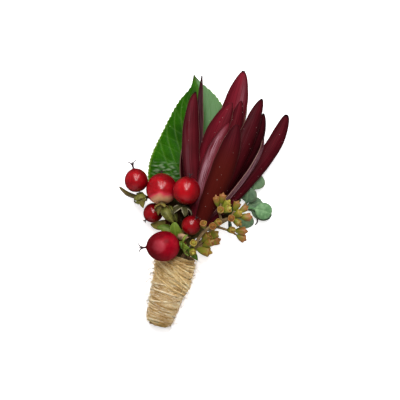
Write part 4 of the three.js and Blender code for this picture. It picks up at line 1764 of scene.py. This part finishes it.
@dataclass(frozen=True)
class Berry:
    """One berry: its middle, its radii across and along, its axis from stalk to beak, and its trimmings.

    unripe is how green its foot is, pink_and_painted_light how pale its half towards the stalk is, which on
    the lowest berry stands for a painted lighter side, pallor_and_highlight how strong a painted pale
    highlight is on its lit side, reflex how far its sepals are turned back, and light_way the way to the
    painted light, with painted shade on the far side.
    """

    number: int
    centre: Triple
    radii: tuple[float, float]
    way: Triple
    styles: float
    sepal: float
    phase: float
    unripe: float = 0.0
    pink_and_painted_light: float = 0.0
    look: Look = Look.BERRY
    calyx_look: Look = Look.SPRIG
    sepal_width: float = 0.52
    reflex: float = 0.0
    pallor_and_highlight: float = 0.0
    light_way: Triple = PAINTED_LIGHT_WAY

    def axis(self) -> np.ndarray:
        """The unit axis from stalk to beak."""
        return unit(np.array(self.way, dtype=float))

    def seat(self) -> np.ndarray:
        """Where it is seated on its calyx."""
        return np.array(self.centre) - self.axis() * self.radii[1]

    def fruit(self) -> Piece:
        """The ovoid fruit, drawn out to a beak, with shallow dents that break up a reflection.

        Returns:
            Its mesh.
        """
        deselect()
        bpy.ops.mesh.primitive_uv_sphere_add(segments=44, ring_count=34, radius=1.0)
        piece = named(bpy.context.active_object, f"berry_{self.number}")
        ball = points_of(piece)
        radius, half = self.radii
        s = ball[:, 2].copy()
        angle = np.arctan2(ball[:, 1], ball[:, 0])
        beak = smooth_step(0.985, 1.0, s)
        dents, fine = (
            np.array([noise.noise(Vector(row) * scale + Vector(shift)) for row in ball])
            for scale, shift in ((2.3, (self.number * 7.0, 0, 0)), (6.0, (0, self.number * 5.0, 0)))
        )
        swell = 1 + 0.007 * dents + 0.0016 * fine + 0.006 * np.cos(3 * angle) * (1 - s**2)
        across = radius * (1 - 0.05 * s) * swell * (1 - 0.25 * beak)
        shaped = np.stack([ball[:, 0] * across, ball[:, 1] * across, s * half * swell + 0.35 * beak], axis=-1)
        set_points(piece, shaped)
        green_end = self.unripe * smooth_step(-0.42, -1.0, s + 0.12 * dents)
        # paler towards the stalk; on the lowest berry this is painted light on its brighter side
        unripe = np.maximum(green_end, self.pink_and_painted_light * smooth_step(0.7, -0.7, s))
        mark(piece, "ends", 0.85 * smooth_step(0.975, 0.998, s) + 0.7 * smooth_step(-0.95, -0.985, s))
        smoothed(piece, 180)
        stood(piece, self.centre, self.axis(), self.phase)
        out = unit(points_of(piece) / MM - np.array(self.centre))
        # painted shade on the side away from the light, less where the berry is pale
        shaded = smooth_step(0.97, 0.3, out @ unit(np.array(self.light_way)))
        mark(piece, "under", shaded * (1 - np.clip(2 * unripe, 0, 0.85)))
        # a painted pale highlight on the side towards the light, carried in the unripe mark
        lit = out @ unit(np.array(PAINTED_LIGHT_WAY)) + 0.07 * dents + 0.05 * fine
        mark(piece, "unripe", np.maximum(unripe, self.pallor_and_highlight * smooth_step(0.76, 0.97, lit)))
        return piece

    def style_arms(self) -> Piece:
        """The three dry styles that curl from the beak.

        Returns:
            Their mesh.
        """
        axis, long = self.axis(), self.styles
        beak = np.array(self.centre) + axis * (self.radii[1] + 0.1)
        arms = []
        for index, out in enumerate(spread(axis, 3, 0.5, 0.6)):
            path = Path.through(
                [
                    beak, beak + axis * long * 0.4 + out * long * 0.08,
                    beak + axis * long * 0.62 + out * long * 0.38,
                    beak + axis * long * (0.5 - 0.1 * index) + out * long * 0.85,
                ]
            )
            arms.append(stem(f"style_{index}", path, (0.36, 0.28, 0.22, 0.12), 0.35, sides=6))
        return joined(f"berry_{self.number}_styles", arms)

    def build(self) -> None:
        """Makes the berry's pieces and dresses them."""
        cad = f"hypericum_berry_{self.number}"
        dressed(self.fruit(), self.look, Slot.BERRY, cad)
        dressed(self.style_arms(), Look.STYLE, Slot.BERRY, cad)


@dataclass(frozen=True)
class Leaflet:
    """A small leaf of a sprig: its line from stalk to tip, its width and the way that it faces.

    stalk is the share of a round leaf's length that is bare stalk.
    """

    root: Triple
    middle: Triple
    tip: Triple
    width: float
    looks: Triple
    tone: float = 0.5
    cup: float = 0.25
    look: Look = Look.SPRIG
    blunt: float = 0.9
    stalk: float = 0.15

    def build(self, name: str, **shape: object) -> Piece:
        """Bends a blade along the leaf's line and writes how near its rim and its midrib are.

        Args:
            name: Its name.
            **shape: The blade's outline, relief and other settings.

        Returns:
            Its mesh.
        """
        line = Path.bow(self.root, self.middle, self.tip)
        piece = Blade(line, self.looks, self.width, **shape).build(name, tone=self.tone)
        across = np.abs(places_on(piece)[0])
        mark(piece, "rim", smooth_step(0.72, 1.0, across))
        mark(piece, "rib", smooth_step(0.16, 0.0, across))
        return piece


@dataclass
class HypericumSprig:
    """A stem with stalks to its berries, a calyx under each, and a few small leaves."""

    name: str
    plant: str
    bundle: Bundle
    berries: tuple[Berry, ...]
    stalks: tuple[tuple[Triple, ...], ...]
    leaflets: tuple[Leaflet, ...]
    clearance: float = 0.3
    thickness: float = 0.6

    @staticmethod
    def pointed(t: np.ndarray, blunt: float) -> np.ndarray:
        """The half width of a lance-shaped leaf."""
        rise = np.sin(math.pi * np.minimum(0.985, 0.14 + 0.86 * t**0.9))
        return np.maximum(0.05, rise**blunt)

    def leaf(self, name: str, leaflet: Leaflet, along: int = 14) -> Piece:
        """A small leaf, folded along its midrib.

        Args:
            name: Its name.
            leaflet: The leaf.
            along: Faces along it.

        Returns:
            Its mesh.
        """
        return leaflet.build(
            name,
            outline=lambda t: self.pointed(t, leaflet.blunt),
            relief=lambda u, t: -0.25 * np.exp(-((u / 0.22) ** 2)) * (1 - 0.5 * t)
            + 0.08 * np.sin(14 * t + 3 * u),
            thickness=self.thickness, margin=0.45, cup=leaflet.cup, across=8, along=along,
        )

    def calyx(self, berry: Berry) -> list[Piece]:
        """The cup under a berry and its five reflexed sepals.

        Args:
            berry: The berry.

        Returns:
            Their meshes.
        """
        axis, seat, radius = berry.axis(), berry.seat(), berry.radii[0]
        low = -self.clearance
        profile = [
            (0.5, low - 1.9), (0.7, low - 1.7), (radius * 0.2, low - 1.0), (radius * 0.26, low - 0.5),
            (radius * 0.24, low - 0.05), (0.1, low),
        ]
        cup = stood(turned(f"cup_{berry.number}", profile, 14), seat, axis)
        mark(cup, "tone", 0.45)
        parts = [cup]
        back = berry.reflex
        for index, out in enumerate(spread(axis, 5, 0, berry.phase)):
            start = seat + axis * (low - 0.8) + out * radius * 0.14
            long = berry.sepal * (1.04 if index % 2 else 0.94)
            leaflet = Leaflet(
                tuple(start),
                tuple(start + out * long * (0.5 - 0.06 * back) - axis * long * (0.12 + 0.22 * back)),
                tuple(start + out * long * (0.82 - 0.5 * back) - axis * long * (0.5 + 0.4 * back)),
                berry.sepal * berry.sepal_width, tuple(axis), 0.4 + 0.08 * index,
            )
            parts.append(self.leaf(f"sepal_{berry.number}_{index}", leaflet, 10))
        return parts

    def build(self) -> None:
        """Makes the sprig's pieces and dresses them."""
        fork = self.bundle.routes[self.plant].beyond[-1]
        wood = [self.bundle.stem(self.plant, f"{self.plant}_main")]
        for berry, stops in zip(self.berries, self.stalks):
            foot = berry.seat() - berry.axis() * (self.clearance + 1.2)
            path = Path.through([fork, *stops, tuple(foot)])
            wood.append(stem(f"stalk_{berry.number}", path, (0.66, 0.55, 0.6), 0.9))
        stalks = joined(f"{self.name}_stalks", wood)
        mark(stalks, "tone", 0.35)
        dressed(stalks, Look.STALK, Slot.SPRIG, self.name)
        for berry in self.berries:
            calyx = joined(f"{self.name}_calyx_{berry.number}", self.calyx(berry))
            dressed(calyx, berry.calyx_look, Slot.SPRIG, self.name)
        for index, leaflet in enumerate(self.leaflets):
            blade = self.leaf(f"{self.name}_leaf_{index + 1}", leaflet)
            dressed(blade, leaflet.look, Slot.SPRIG, self.name)
        for berry in self.berries:
            berry.build()


# Eucalyptus


@dataclass(frozen=True)
class Umbel:
    """Buds whose stalks meet at the end of a twig, each given by its rim's middle, ripeness and fatness."""

    twig: tuple[Triple, ...]
    buds: tuple[tuple[Triple, float, float], ...]


@dataclass
class SeededSprig:
    """A eucalyptus stem with umbels of urn-shaped buds."""

    name: str
    plant: str
    bundle: Bundle
    umbels: tuple[Umbel, ...]
    seed: int
    bud_length: float = 5.2
    bud_rim: float = 0.78

    def pattern(self) -> Piece:
        """One bud standing on the origin: a four-cornered urn with a lip and a pointed cap.

        Returns:
            Its mesh.
        """
        profile = [
            (0.4, 0.0), (0.66, 0.4), (1.1, 1.1), (1.46, 1.9), (1.66, 2.7), (1.7, 3.3), (1.78, 3.75),
            (1.66, 4.06), (1.44, 4.04), (1.28, 3.8), (1.1, 3.95), (0.8, 4.35), (0.46, 4.75), (0.18, 5.05),
            (0.05, 5.15),
        ]
        piece = turned("bud_pattern", profile, 16)
        points = points_of(piece) / MM
        angle = np.arctan2(points[:, 1], points[:, 0])
        ridge = 1 + 0.085 * np.cos(4 * angle) * smooth_step(0.2, 2.0, points[:, 2])
        points[:, :2] *= ridge[:, None]
        set_points(piece, points)
        mark(piece, "height", points[:, 2] / self.bud_length)
        radial = np.linalg.norm(points[:, :2], axis=1)
        groove = np.exp(-(((radial - 1.22) / 0.2) ** 2)) * smooth_step(3.6, 3.78, points[:, 2])
        mark(piece, "disc", 0.8 * groove)
        lip = np.exp(-(((radial - 1.62) / 0.16) ** 2)) * smooth_step(3.7, 3.95, points[:, 2])
        mark(piece, "lip", 0.8 * lip)
        return piece

    def build(self) -> None:
        """Makes the sprig's pieces and dresses them."""
        rng = np.random.default_rng(self.seed)
        pattern = self.pattern()
        wood = [self.bundle.stem(self.plant, f"{self.plant}_main", 0.75)]
        buds = []
        for umbel in self.umbels:
            knot = np.array(umbel.twig[-1], dtype=float)
            if len(umbel.twig) > 1:
                wood.append(stem("twig", Path.through(umbel.twig), (0.62, 0.5), 0.8))
            for rim, ripeness, fat in umbel.buds:
                way = unit(np.array(rim) - knot)
                size, long = rng.uniform(0.94, 1.06) * fat, rng.uniform(0.94, 1.04) * max(fat, 1)
                foot = np.array(rim) - way * self.bud_rim * self.bud_length * max(fat, 1)
                bud = copied(pattern)
                set_points(bud, points_of(bud) / MM * np.array([size, size, long]))
                stood(bud, foot, way, rng.uniform(0, math.pi))
                mark(bud, "tone", 0.9 * ripeness + rng.uniform(-0.1, 0.1))
                buds.append(bud)
                if np.linalg.norm(foot - knot) > 0.8:
                    path = Path.bow(knot, (knot + foot) / 2 + rng.normal(0, 0.12, 3), foot + way * 0.3)
                    wood.append(stem("stalk", path, (0.48, 0.36, 0.42), 0.7, sides=6))
        bpy.data.objects.remove(pattern)
        stalks = joined(f"{self.name}_stalks", wood)
        mark(stalks, "tone", 0.5)
        dressed(stalks, Look.TWIG, Slot.BUD, self.name)
        urns = joined(f"{self.name}_buds", buds)
        modify(urns, "SUBSURF", levels=1, render_levels=1)
        dressed(smoothed(urns, 70), Look.BUD, Slot.BUD, self.name)


@dataclass
class RoundLeaves:
    """Small round glaucous leaves along one eucalyptus stem."""

    bundle: Bundle
    leaves: tuple[Leaflet, ...] = (
        Leaflet((23.2, 49.6, 5.1), (23.4, 53.8, 6), (24.2, 57.6, 5.4), 8, (0.1, -0.2, 1), 0.6),
        Leaflet((22, 44, 4.8), (21.5, 47.0, 7), (20.8, 50.6, 6.8), 8.2, (-0.3, -0.1, 1), 0.42),
        Leaflet(
            (22.4, 42.5, 4.9), (28.6, 43, 6.8), (33.3, 42.7, 5.4), 7.3, (0.1, 0, 1), 0.55,
            look=Look.YOUNG_LEAF, stalk=0.36
        ),
        Leaflet((23.4, 41.8, 4.2), (29.4, 42, 3.6), (33.6, 41.2, 2.8), 6.4, (0.15, 0, 1), 0.42),
        Leaflet((22, 43.2, 4.6), (25.4, 44.8, 4.2), (28, 47, 3.4), 6.0, (0.2, 0.3, 1), 0.5),
        Leaflet((19, 37.6, 4.2), (24, 36.4, 2.6), (26.4, 34.8, 0.6), 7, (0.2, -0.2, 1), 0.6),
        Leaflet((16.8, 36.3, 4.4), (17.6, 34.2, 6.8), (18.4, 31.4, 8), 3, (0.8, 0, 0.6), 0.05),
    )
    stub: tuple[Triple, ...] = ((28.3, 40.6, 3.6), (28.3, 39.0, 3.2), (28.7, 37.9, 2.4), (28.2, 36.4, 1.8))
    thickness: float = 0.7

    @staticmethod
    def half_width(t: np.ndarray, stalk: float) -> np.ndarray:
        """A round leaf's half width: a short stalk, then nearly a circle."""
        middle, reach = 0.505 + stalk / 2, 0.505 - stalk / 2
        return np.maximum(0.12, np.sqrt(np.maximum(0, 1 - (np.abs(t - middle) / reach) ** 2.2)))

    def leaf(self, index: int, leaflet: Leaflet) -> Piece:
        """One leaf, dished and a little waved.

        Args:
            index: Its number.
            leaflet: The leaf.

        Returns:
            Its mesh.
        """
        piece = leaflet.build(
            f"round_leaf_{index}",
            outline=lambda t: self.half_width(t, leaflet.stalk),
            relief=lambda u, t: -0.22 * np.exp(-((u / 0.15) ** 2))
            + 0.16 * np.sin(8 * t + 3 * u + index) * np.abs(u)
            - 0.05 * np.abs(np.sin(12 * (t - 0.35 * np.abs(u)))),
            thickness=self.thickness, margin=0.5, cup=0.12, across=12, along=20,
        )
        return rested(piece)

    def build(self) -> None:
        """Makes the leaves and their stem and dresses them."""
        cad = "eucalyptus_leaves"
        blades = [self.leaf(index, leaflet) for index, leaflet in enumerate(self.leaves)]
        young = [blade for blade, leaflet in zip(blades, self.leaves) if leaflet.look is Look.YOUNG_LEAF]
        for blade in young:
            blades.remove(blade)
            dressed(blade, Look.YOUNG_LEAF, Slot.ROUND_LEAF, cad)
        dressed(joined("round_leaf_blades", blades), Look.ROUND_LEAF, Slot.ROUND_LEAF, cad)
        twig = self.bundle.stem("round_leaves", "round_leaf_twig", 0.6)
        mark(twig, "tone", 0.6)
        dressed(twig, Look.TWIG, Slot.ROUND_LEAF, cad)
        stub = stem("round_leaf_stub", Path.through(self.stub), (0.3, 0.34, 0.22), 0.5, sides=6)
        dressed(stub, Look.STYLE, Slot.ROUND_LEAF, cad)


# Studio


@dataclass
class Studio:
    """The camera straight above, a pale table, and large soft lights over the flower's head."""

    target: Triple = (2.7, 40.1, 10.0)
    distance: float = 600.0
    field_width: float = 168.0
    roll: float = 16.0
    sensor: float = 36.0
    table: str = "#fbfafb"
    table_glow: float = 0.66
    room: float = 0.04
    glow_sharpness: float = 5.0
    glows: tuple[tuple[Triple, float], ...] = (
        ((-0.85, 0.10, 0.40), 0.2), ((0.85, 0.10, 0.40), 0.12), ((0.10, -0.85, 0.40), 0.62)
    )
    lights: tuple[tuple[str, Triple, tuple[float, float], float], ...] = (
        ("window_pane_left", (-0.27, 0.42, 0.66), (0.07, 0.85), 2.4),
        ("window_pane_middle", (-0.12, 0.45, 0.66), (0.07, 0.85), 2.6),
        ("window_pane_right", (0.08, 0.48, 0.66), (0.16, 0.85), 3.4),
    )

    def camera(self) -> None:
        """Makes the scene's camera, which looks straight down."""
        data = bpy.data.cameras.new("camera")
        data.sensor_width = self.sensor
        data.lens = self.sensor * self.distance / self.field_width
        data.clip_start = 0.01
        made = bpy.data.objects.new("camera", data)
        x, y, z = self.target
        made.location = (x * MM, y * MM, (z + self.distance) * MM)
        made.rotation_euler = (0, 0, math.radians(self.roll))
        bpy.context.collection.objects.link(made)
        bpy.context.scene.camera = made

    def light(self, name: str, place: Triple, size: tuple[float, float], power: float) -> None:
        """A soft rectangular light that shines at the flower.

        Args:
            name: Its name.
            place: Where it hangs, in metres.
            size: Its width and height, in metres.
            power: Its watts.
        """
        data = bpy.data.lights.new(name, "AREA")
        data.shape = "RECTANGLE"
        data.size, data.size_y = size
        data.energy = power
        made = bpy.data.objects.new(name, data)
        made.location = place
        aim = Vector(self.target) * MM - Vector(place)
        made.rotation_euler = aim.to_track_quat("-Z", "Y").to_euler()
        bpy.context.collection.objects.link(made)

    def build(self) -> None:
        """Makes the table, the lights and the pale surroundings."""
        deselect()
        bpy.ops.mesh.primitive_plane_add(size=3.0, location=(0, 0, 0))
        floor = named(bpy.context.active_object, "table")
        # white card, which glows a little so that the flower hardly shades it
        surface = Plain(
            name="white_card_table", roughness=0.9, specular=0.1, colour=self.table, second=self.table
        )
        card = surface.material()
        shader = card.node_tree.nodes[SHADER]
        shader.inputs["Emission Color"].default_value = linear(self.table)
        shader.inputs["Emission Strength"].default_value = self.table_glow
        floor.data.materials.append(card)
        # the glossy skins mirror the dim room instead, which keeps their colours deep
        floor.visible_glossy = False
        floor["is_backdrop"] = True
        for name, place, size, power in self.lights:
            self.light(name, place, size, power)
        world = bpy.data.worlds.new("pale_room")
        world.use_nodes = True
        tree = world.node_tree
        shade = tree.nodes["Background"]
        way = node(tree, "ShaderNodeTexCoord", out="Generated")
        light = node(tree, "ShaderNodeValue")
        light.default_value = self.room
        for towards, strength in self.glows:
            settings = {"operation": "DOT_PRODUCT", 1: Vector(towards).normalized()}
            facing = node(tree, "ShaderNodeVectorMath", settings, {0: way}, "Value")
            facing = node(tree, "ShaderNodeMath", {"operation": "MAXIMUM", 1: 0.0}, {0: facing})
            glow = node(tree, "ShaderNodeMath", {"operation": "POWER", 1: self.glow_sharpness}, {0: facing})
            settings = {"operation": "MULTIPLY_ADD", 1: strength}
            light = node(tree, "ShaderNodeMath", settings, {0: glow, 2: light})
        tree.links.new(light, shade.inputs["Strength"])
        shade.inputs["Color"].default_value = linear("#ffffff")
        bpy.context.scene.world = world
        bpy.context.scene.view_settings.view_transform = "Standard"


# The whole


def berries() -> tuple[Berry, ...]:
    """The six hypericum berries, from the left one to the lowest.

    Returns:
        The berries.
    """
    return (
        Berry(
            1, (-25.3, 40.7, 11.6), (4.9, 5.0), (-0.48, 0.87, 0.1), 3.4, 4.4, 0.4, calyx_look=Look.FOLDED,
            sepal_width=0.75, reflex=0.9
        ),
        Berry(
            2, (-14, 40.2, 13.7), (6.5, 6.6), (-0.25, 0.85, -0.4), 2, 3.6, 0.1, 1.0, 0.16, sepal_width=0.72,
            reflex=0.3
        ),
        Berry(
            3, (-3.7, 42.4, 20.4), (5.7, 5.8), (-0.05, 0.94, 0.33), 1.6, 5.6, 0.1, 0.1, 0.08,
            calyx_look=Look.OLD_SEPAL, reflex=0.35
        ),
        Berry(4, (-14.8, 29.4, 9.2), (4.1, 4.2), (-0.45, -0.8, 0.35), 1.2, 2, 0.9, look=Look.RIPE_BERRY),
        Berry(5, (2.1, 29.1, 19.2), (4, 4.1), (0.25, 0.75, 0.6), 1, 3.4, 0.2, look=Look.RIPE_BERRY),
        # the lowest berry: a painted pale highlight, a painted lighter side, and painted shade set by its own
        # light_way
        Berry(
            6, (-6.7, 17.6, 21.3), (6.3, 6.9), (-0.94, -0.34, 0.05), 3.4, 5, 0.7, 0.0, 0.1, Look.DULL_BERRY,
            Look.FRESH, pallor_and_highlight=0.25, light_way=(0.4, 0.1, 1.0)
        ),
    )


def hypericum(bundle: Bundle) -> list[HypericumSprig]:
    """The two hypericum sprigs with their berries.

    Args:
        bundle: The stems' ways.

    Returns:
        The sprigs.
    """
    fruit = berries()
    upper = HypericumSprig(
        "hypericum_sprig_upper",
        "berries_upper",
        bundle,
        fruit[:4],
        (
            ((-10.6, 32.6, 8.2), (-15.8, 35, 7.4)), ((-9.6, 31.4, 12.6),), ((-6.6, 31.8, 13.4),),
            ((-10.2, 31.6, 8.4),),
        ),
        (
            Leaflet(
                (-22, 34.6, 9.6), (-26.4, 34.2, 10.4), (-31.4, 36.2, 10.8), 2.2, (0, 0.6, 1), 0.3, blunt=0.5
            ),
            Leaflet(
                (-8, 27, 9.2), (-11.4, 25.0, 6.8), (-14.6, 24.6, 5.6), 4.4, (-0.2, 0.2, 1), 0.9, blunt=0.6
            ),
            Leaflet(
                (-11, 33.6, 15.4), (-9.4, 31.4, 18.8), (-5.2, 28, 17.4), 4.4, (-0.15, 0.3, 1), 0.6, 0.5,
                Look.FOLDED, 0.75
            ),
            Leaflet(
                (-8.6, 34.4, 15), (-6.6, 32.4, 17.6), (-3.8, 28.6, 16.4), 3.8, (0.35, 0.2, 1), 0.4, 0.5,
                Look.FOLDED
            ),
            Leaflet((-9.8, 31, 11), (-9.6, 31.8, 15.4), (-8.2, 28.4, 15.8), 3.6, (-0.3, 0.3, 1), 0.5, 0.4),
            Leaflet((-11.6, 33.0, 15.6), (-12.8, 32.6, 17.4), (-12.2, 29.2, 16.2), 2.4, (-0.4, 0.1, 1), 0.6),
            Leaflet(
                (-22.2, 36.6, 9.6), (-21.2, 33.8, 11.4), (-19.2, 30.2, 10.6), 3.8, (-0.1, 0.1, 1), 0.75, 0.4
            ),
            Leaflet((-11.6, 31.2, 10.4), (-12.6, 31.4, 13.2), (-12.2, 29.2, 13.8), 2.2, (0, 0.2, 1), 0.9),
        ),
    )
    lower = HypericumSprig(
        "hypericum_sprig_lower",
        "berries_lower",
        bundle,
        fruit[4:],
        (((0, 23, 15.6),), ((1, 21.4, 18.4), (1.8, 20.9, 20.4))),
        (
            Leaflet(
                (-1.4, 20.4, 13.6), (-3.4, 24.2, 17), (-5, 28.4, 17.6), 5.6, (-0.2, 0.2, 1), 0.6,
                look=Look.FRESH, blunt=0.5
            ),
            Leaflet(
                (-1.6, 19.4, 13.4), (-5.6, 24.2, 13.8), (-11.4, 24.2, 13.0), 5.0, (0, 0.2, 1), 0.55,
                look=Look.FRESH, blunt=0.6
            ),
            Leaflet(
                (0.2, 20.6, 15.2), (1, 20.8, 17.6), (2.6, 17.6, 20), 3.4, (0.3, 0.3, 1), 1.0, look=Look.FRESH
            ),
            Leaflet(
                (-1.2, 22.2, 17.6), (0.2, 23.3, 19.8), (2.3, 23.9, 18.9), 3.5, (0.1, -0.3, 1), 0.7,
                look=Look.DRY
            ),
            Leaflet(
                (3.2, 19.4, 14.8), (6.2, 17.8, 16.2), (8.8, 15.6, 14.2), 3.0, (0.2, 0.2, 1), 0.2,
                look=Look.FRESH
            ),
        ),
    )
    return [upper, lower]


def seeded_sprigs(bundle: Bundle) -> list[SeededSprig]:
    """The two seeded eucalyptus sprigs.

    Args:
        bundle: The stems' ways.

    Returns:
        The sprigs.
    """
    upper = (
        Umbel(((4.9, 20.6, 14.3),), (((5, 22.4, 18.8), 0.05, 0.84), ((6, 18.1, 17.8), 0.1, 0.8))),
        Umbel(((8.1, 28.2, 17),), (((6.6, 31.4, 22.6), 0.6, 0.88),)),
        Umbel(
            ((9.6, 29.6, 17.3), (10.6, 31.4, 17.6)),
            (((10.7, 31.2, 22), 0.65, 0.84), ((12.9, 33.8, 20.8), 0.5, 0.95))
        ),
        Umbel(
            ((13.6, 34.4, 18), (11.8, 37.2, 19.4)),
            (
                ((8.8, 42.9, 21.2), 0.8, 0.9), ((11.2, 45, 20.4), 0.85, 0.9), ((11.9, 38.7, 24), 0.6, 0.84),
                ((14.2, 42.5, 19.8), 0.05, 1.05), ((15.4, 40.2, 22), 0.15, 0.95),
            ),
        ),
        Umbel(
            ((13.6, 34.4, 18), (17, 36.6, 17)),
            (((18.1, 43.6, 17.6), 0.7, 1), ((22, 42.4, 16), 0.75, 0.95), ((24.6, 39, 15.6), 1.05, 1)),
        ),
        Umbel(
            ((17, 36.6, 17),),
            (((20.3, 39.9, 19), 0.3, 1), ((17.2, 36.4, 22), 0.7, 0.86), ((21.2, 35.1, 18), 0.6, 0.95))
        ),
        Umbel(
            ((10.6, 31, 17.4), (13.8, 31.3, 16), (17.2, 31.2, 14.6)),
            (((19.4, 31.9, 17.6), 0.35, 0.9), ((24.4, 32.7, 14.4), 0.95, 1.1), ((25.3, 29.4, 13.2), 1.0, 1)),
        ),
    )
    lower = (
        Umbel(
            ((6.9, 20.1, 11.8),),
            (
                ((10.2, 27.4, 14.8), 0.5, 1.15), ((13.3, 29, 12.2), 0.45, 1.1),
                ((14.9, 26.3, 11.4), 0.95, 1.15), ((12.2, 24.8, 15.2), 0.6, 1.15),
                ((12.4, 20.2, 12.8), 0.4, 1.4),
            ),
        ),
    )
    return [
        SeededSprig("eucalyptus_seeds_upper", "seeds_upper", bundle, upper, 41),
        SeededSprig("eucalyptus_seeds_lower", "seeds_lower", bundle, lower, 42),
    ]


def main() -> None:
    """Builds the whole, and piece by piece."""
    logging.basicConfig(level=logging.INFO, format="%(name)s: %(message)s")
    studio = Studio()
    studio.camera()
    bundle = Bundle()
    TwineBinding(bundle).build()
    LeucadendronHead(bundle).build()
    BroadLeaf(bundle).build()
    for sprig in hypericum(bundle):
        sprig.build()
    for sprig in seeded_sprigs(bundle):
        sprig.build()
    RoundLeaves(bundle).build()
    studio.build()
    boxes = {"cad": CAD_BOX, "visual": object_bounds()}
    {key: [[float(v) for v in corner] for corner in box] for key, box in boxes.items()}


if __name__ == "__main__":
    main()
